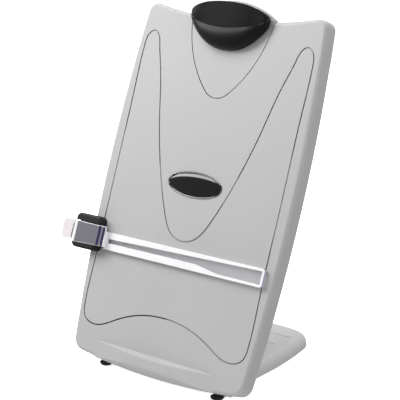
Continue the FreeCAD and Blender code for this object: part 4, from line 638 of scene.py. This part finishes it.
# %% [markdown]
# ## Springs
# The clip and the guide are pressed on to the page by coils of oiled spring wire round their pins.  A
# curve with a bevel would do too, but a small circle that is spun, and pushed along the pin at each step,
# draws the wire as a mesh straight away, and filling its two open ends closes it.  The clip's spring also
# has two straight legs.

# %% Springs
STEPS_PER_TURN = 20
GUIDE_COIL_START, GUIDE_COIL_RUN = (-113, 104.9, 15.6), (0, 3.4, 0)
CLIP_PIN = Vector((0, 308, 12.5))
CLIP_COIL_HALF, CLIP_WIRE_RADIUS = 11.4, 0.5
LEG_X, LEG_TOP, LEG_FOOT = 10.8, (307.6, 10.5), (296, 8.75)


def coil(start, along, mean_radius, wire_radius, turns):
    """A coil of wire round the line from start through the vector along."""
    wire, steps = bmesh.new(), int(turns * STEPS_PER_TURN)
    axis = Vector(along)
    side = axis.orthogonal().normalized() * mean_radius
    facing = side.cross(axis).to_track_quat("Z", "Y").to_matrix().to_4x4()
    place = Matrix.Translation(Vector(start) + side) @ facing
    ring = bmesh.ops.create_circle(wire, segments=10, radius=wire_radius, matrix=place)["verts"]
    edges = list({e for v in ring for e in v.link_edges})
    bmesh.ops.spin(wire, geom=ring + edges, cent=start, axis=axis.normalized(), dvec=axis / steps,
                   angle=2 * math.pi * turns, steps=steps)
    bmesh.ops.holes_fill(wire, edges=open_edges(wire), sides=0)
    bmesh.ops.recalc_face_normals(wire, faces=wire.faces[:])
    return wire


guide_wire = coil(GUIDE_COIL_START, GUIDE_COIL_RUN, mean_radius=1.5, wire_radius=0.32, turns=5)
finish_piece("guide_coil", guide_wire, BOARD, "slider", "guide_spring")
clip_wire = coil(CLIP_PIN - Vector((CLIP_COIL_HALF, 0, 0)), (2 * CLIP_COIL_HALF, 0, 0),
                 mean_radius=2.25, wire_radius=CLIP_WIRE_RADIUS, turns=13)
for side in (-1, 1):
    top, foot = Vector((side * LEG_X, *LEG_TOP)), Vector((side * LEG_X, *LEG_FOOT))
    leg = Matrix.Translation((top + foot) / 2) @ (foot - top).to_track_quat("Z", "Y").to_matrix().to_4x4()
    bmesh.ops.create_cone(clip_wire, cap_ends=True, segments=12, radius1=CLIP_WIRE_RADIUS,
                          radius2=CLIP_WIRE_RADIUS, depth=(foot - top).length, matrix=leg)
finish_piece("clip_coil", clip_wire, BOARD, "board", "clip_spring", sharp=60)

# %% [markdown]
# ## Ribs inside the clip
# The clip's shell hangs on its pin by two short ribs.  Each is a disc round the pin, pulled up where it
# meets the shell and thickened sideways.

# %% Ribs inside the clip
CLIP_RIB_X, CLIP_RIB_WIDTH, CLIP_RIB_RADIUS = 19.4, 3.8, 3.0
CLIP_RIB_STRETCH, CLIP_RIB_TOP = 1.6, 3.2

ribs = bmesh.new()
for side in (-1, 1):
    middle = CLIP_PIN + Vector((side * CLIP_RIB_X, 0, 0))
    upright = Matrix.Translation(middle) @ Matrix.Rotation(math.pi / 2, 4, "Y")
    disc = bmesh.ops.create_circle(ribs, segments=40, radius=CLIP_RIB_RADIUS, cap_ends=True,
                                   matrix=upright)["verts"]
    for point in disc:
        if point.co.z > CLIP_PIN.z:
            point.co.z = CLIP_PIN.z + min(CLIP_RIB_TOP, CLIP_RIB_STRETCH * (point.co.z - CLIP_PIN.z))
    disc_faces = list({f for v in disc for f in v.link_faces})
    grown = bmesh.ops.extrude_face_region(ribs, geom=disc_faces, use_keep_orig=True)["geom"]
    bmesh.ops.translate(ribs, verts=points_of(grown), vec=(side * CLIP_RIB_WIDTH, 0, 0))
bmesh.ops.recalc_face_normals(ribs, faces=ribs.faces[:])
finish_piece("clip_ribs", ribs, BOARD, "clip", "clip_jaw")

# %% [markdown]
# ## Front feet
# The two front feet are domes of soft rubber, flat above and rounded where they meet the desk.  They could
# be scaled spheres, but spinning a few points of their section gives the flat top and the tight rim too.

# %% Front feet
FOOT_X, FOOT_Y = 65.8, -88.8
FOOT_SECTION = [(0, 3.3), (5.5, 3.3), (5.9, 3.1), (6.0, 2.7), (5.8, 1.9), (5.2, 1.05), (4.3, 0.4),
                (3.2, 0.06), (0, 0)]

feet = bmesh.new()
for side in (-1, 1):
    section = [feet.verts.new((across, 0, up)) for across, up in FOOT_SECTION]
    for low, high in zip(section, section[1:]):
        feet.edges.new((low, high))
    chain = section + [e for v in section for e in v.link_edges]
    bmesh.ops.spin(feet, geom=list(dict.fromkeys(chain)), cent=(0, 0, 0), axis=(0, 0, 1),
                   angle=2 * math.pi, steps=48, use_merge=True)
    bmesh.ops.remove_doubles(feet, verts=feet.verts[:], dist=0.001)
    # The foot that was spun last still stands on the axis.
    new_foot = [v for v in feet.verts if v.co.xy.length < FOOT_X / 2]
    bmesh.ops.translate(feet, verts=new_foot, vec=(side * FOOT_X, FOOT_Y, 0))
bmesh.ops.recalc_face_normals(feet, faces=feet.faces[:])
finish_piece("foot_domes", feet, DESK, "base", "front_feet", sharp=60)

# %% [markdown]
# ## Board
# The board's front is one large moulding with the badge's seat, one engraved line and the seam round the
# clip's plate.  The seat's edge is a polished chamfer, painted near white so that it shows as a pale ring: a
# painted highlight.  Little light comes out of a deep, narrow groove.  At this size its shape alone doesn't
# look dark enough, so the walls and the floor of the line and the seam are painted darker, as painted shade
# in a darker grey of the same plastic.  All these faces are found by where they lie.

# %% Board front
SEAT_CHAMFER = 1.1
SEAT_OVAL, CHAMFER_OVAL, OVAL_WITHIN = (29.8, 10.6), (30.4, 11.2), 0.06
SEAT_EDGE_FLOOR, CHAMFER_FLOOR = FACE - 0.4, FACE - 1.2
CHAMFER_TILTS = (0.4, 0.95)
WALL_BELOW, FLOOR_ABOVE = 0.2, 0.99
GROOVE_TOP, GROOVE_FLOOR = FACE - 0.12, FACE - 0.95
LEDGE_TOP, SEAT_FROM, SEAT_TO = 12, 150, 173
SEAM_HALF, SEAM_FROM, SEAM_FLOOR = 48, 236, -3
PLAIN_FACE, GROOVE_FACE, CHAMFER_FACE = 0, 1, 2

to_board = BOARD.inverted()
turn_to_board = to_board.to_3x3()


def on_oval(point, half_across, half_up):
    """Whether a point of the board lies on an oval round the badge's middle."""
    return abs((point.x / half_across) ** 2 + ((point.y - BADGE_Y) / half_up) ** 2 - 1) < OVAL_WITHIN


def board_finish(middle, tilt):
    """Which finish a face gets by its middle, and by tilt: 0 on a groove's wall, 1 on its floor."""
    steep, shallow = CHAMFER_TILTS
    # The seat's chamfer gets the painted highlight.
    if on_oval(middle, *CHAMFER_OVAL) and steep < tilt < shallow and middle.z > CHAMFER_FLOOR:
        return CHAMFER_FACE
    # The seam round the clip's plate and the engraved line's walls and floor get the painted shade.
    if abs(middle.x) < SEAM_HALF and middle.y > SEAM_FROM and SEAM_FLOOR < middle.z < GROOVE_TOP:
        return GROOVE_FACE
    wall_or_floor = tilt < WALL_BELOW or tilt > FLOOR_ABOVE
    if GROOVE_FLOOR < middle.z < GROOVE_TOP and wall_or_floor and middle.y > LEDGE_TOP:
        return PLAIN_FACE if SEAT_FROM < middle.y < SEAT_TO else GROOVE_FACE
    return PLAIN_FACE


board_front = softened("front_panel", 0.2)
seat = [edge for edge in board_front.edges if all(
    on_oval(end, *SEAT_OVAL) and end.z > SEAT_EDGE_FLOOR for end in (to_board @ v.co for v in edge.verts))]
bevelled(board_front, seat, SEAT_CHAMFER * MM, segments=1)
for face in board_front.faces:
    upright = (turn_to_board @ face.normal).normalized()
    face.material_index = board_finish(to_board @ face.calc_center_median(), abs(upright.z))
chamfer_faces = sum(face.material_index == CHAMFER_FACE for face in board_front.faces)
print("badge seat edges:", len(seat), "chamfer faces:", chamfer_faces)
finish_piece("board_front", board_front, NO_MOVE, "board", "front_panel", sharp=50,
             finishes=[board_abs, groove_painted_shade, seat_painted_highlight])

# %% [markdown]
# ## Line guide
# The guide is one clear moulding, yet it doesn't look the same all over.  Its thick ribs gather light and
# glow almost white, so they get a painted highlight, the thin web between them shows the page, the plate
# over the slider looks hazed, the plate's outer end milky, and the bar's far end pale violet.  One clear
# finish can't show that at this size, so each face of the softened copy gets its own by where it lies.

# %% Line guide
RAISED = 12
BARREL_X, BARREL_HALF = -113, 3
PLATE_RIGHT, MILKY_END, BAR_END = -86, -123.5, 96.2
RIB_FLOOR = FACE + 3.0
FLAT_ABOVE, OUTWARD_ABOVE = 0.9, 0.3
WEB, RIB, HAZED, MILKY, PALE_END = range(5)


def guide_finish(middle, normal):
    """Which finish a face of the guide gets, by where it lies and which way it faces."""
    flat = abs(normal.z) > FLAT_ABOVE
    if middle.z > RAISED and abs(middle.x - BARREL_X) < BARREL_HALF:
        return HAZED
    if middle.z > RAISED and middle.x < PLATE_RIGHT:
        # The plate's edges get the painted highlight.
        return RIB if not flat else HAZED if middle.x > MILKY_END else MILKY
    if middle.x > BAR_END and normal.x > OUTWARD_ABOVE:
        return PALE_END
    # Ribs get the painted highlight, and the flat web stays clear.
    return RIB if middle.z > RIB_FLOOR or not flat else WEB


guide = softened("line_guide", 0.3)
for face in guide.faces:
    normal = (turn_to_board @ face.normal).normalized()
    face.material_index = guide_finish(to_board @ face.calc_center_median(), normal)
finish_piece("clear_guide", guide, NO_MOVE, "guide", "line_guide", sharp=50,
             finishes=[acrylic, rib_painted_highlight, hazed, milky, violet_end])

# %% [markdown]
# The plate's top is one smooth hazed face with a light rim all round and a raised rib at its outer end.  The
# rim and the rib are painted almost white, a painted highlight.  It covers the barrel and the spring's
# window, which are lost in the haze.  Top and rib start as blocks, since a block's edges bevel evenly.  The
# top's right end is a little narrower and lies a little higher up.

# %% Guide plate's top
# Each block is its left and right, its low and high above the face, and its width up the board.
TOP_BLOCK = (-119.5, -82.2, 8.7, 9.7, 19.9)
RIB_BLOCK = (-121.3, -118.0, 8.2, 10.5, 19.6)
PLATE_Y, NARROW_END_Y, NARROW_FROM, NARROWING = 98.6, 99.2, -90, 0.9
RIM_RADIUS, RIB_TOP_FROM, FACES_UP = 0.45, FACE + 10, 0.99


def add_block(mesh, middle, size):
    """Adds a block to a bmesh, round its middle."""
    bmesh.ops.create_cube(mesh, size=1, matrix=Matrix.Translation(middle) @ Matrix.Diagonal((*size, 1)))


plate_top = bmesh.new()
for left, right, low, high, width in (TOP_BLOCK, RIB_BLOCK):
    add_block(plate_top, ((left + right) / 2, PLATE_Y, FACE + (low + high) / 2),
              (right - left, width, high - low))
for point in plate_top.verts:
    if point.co.x > NARROW_FROM:
        point.co.y = NARROW_END_Y + (point.co.y - PLATE_Y) * NARROWING
bevelled(plate_top, plate_top.edges[:], RIM_RADIUS, segments=3)
for face in plate_top.faces:
    # All but the flat top get the painted highlight.
    hazy = face.normal.z > FACES_UP and face.calc_center_median().z < RIB_TOP_FROM
    face.material_index = 0 if hazy else 1
finish_piece("guide_plate_top", plate_top, BOARD, "guide", "line_guide", sharp=50,
             finishes=[hazed, rib_painted_highlight])

# %% [markdown]
# Where the plate steps down to the bar, the eye looks along a cut face and sees the violet of the bulk as
# two dark lines.  They are painted shade: thin dark violet blocks on the plate.  A third block, hazed and
# thicker, is the end beyond the rib.

# %% Guide edge lines
# Each block is its left side, its width across, its width up the board, its depth and its middle's height.
END_BLOCK = (-123.4, 2.2, 13.0, 3.2, 8.2)
LINE_BLOCKS = [(-91.0, 2.9, 17.9, 0.3, 9.75), (-85.6, 2.6, 17.5, 0.3, 9.75)]
LINES_Y, LINES_LEFT, LINE_RADIUS = 99.1, -120, 0.1

edge_lines = bmesh.new()
for left, across, width, depth, height in [END_BLOCK, *LINE_BLOCKS]:
    add_block(edge_lines, (left + across / 2, LINES_Y, FACE + height), (across, width, depth))
bevelled(edge_lines, edge_lines.edges[:], LINE_RADIUS, segments=2)
for face in edge_lines.faces:
    # The two thin lines get the painted shade, and the end block gets the haze.
    face.material_index = 1 if face.calc_center_median().x < LINES_LEFT else 0
finish_piece("guide_edge_lines", edge_lines, BOARD, "guide", "line_guide", sharp=50,
             finishes=[step_lines_painted_shade, hazed])
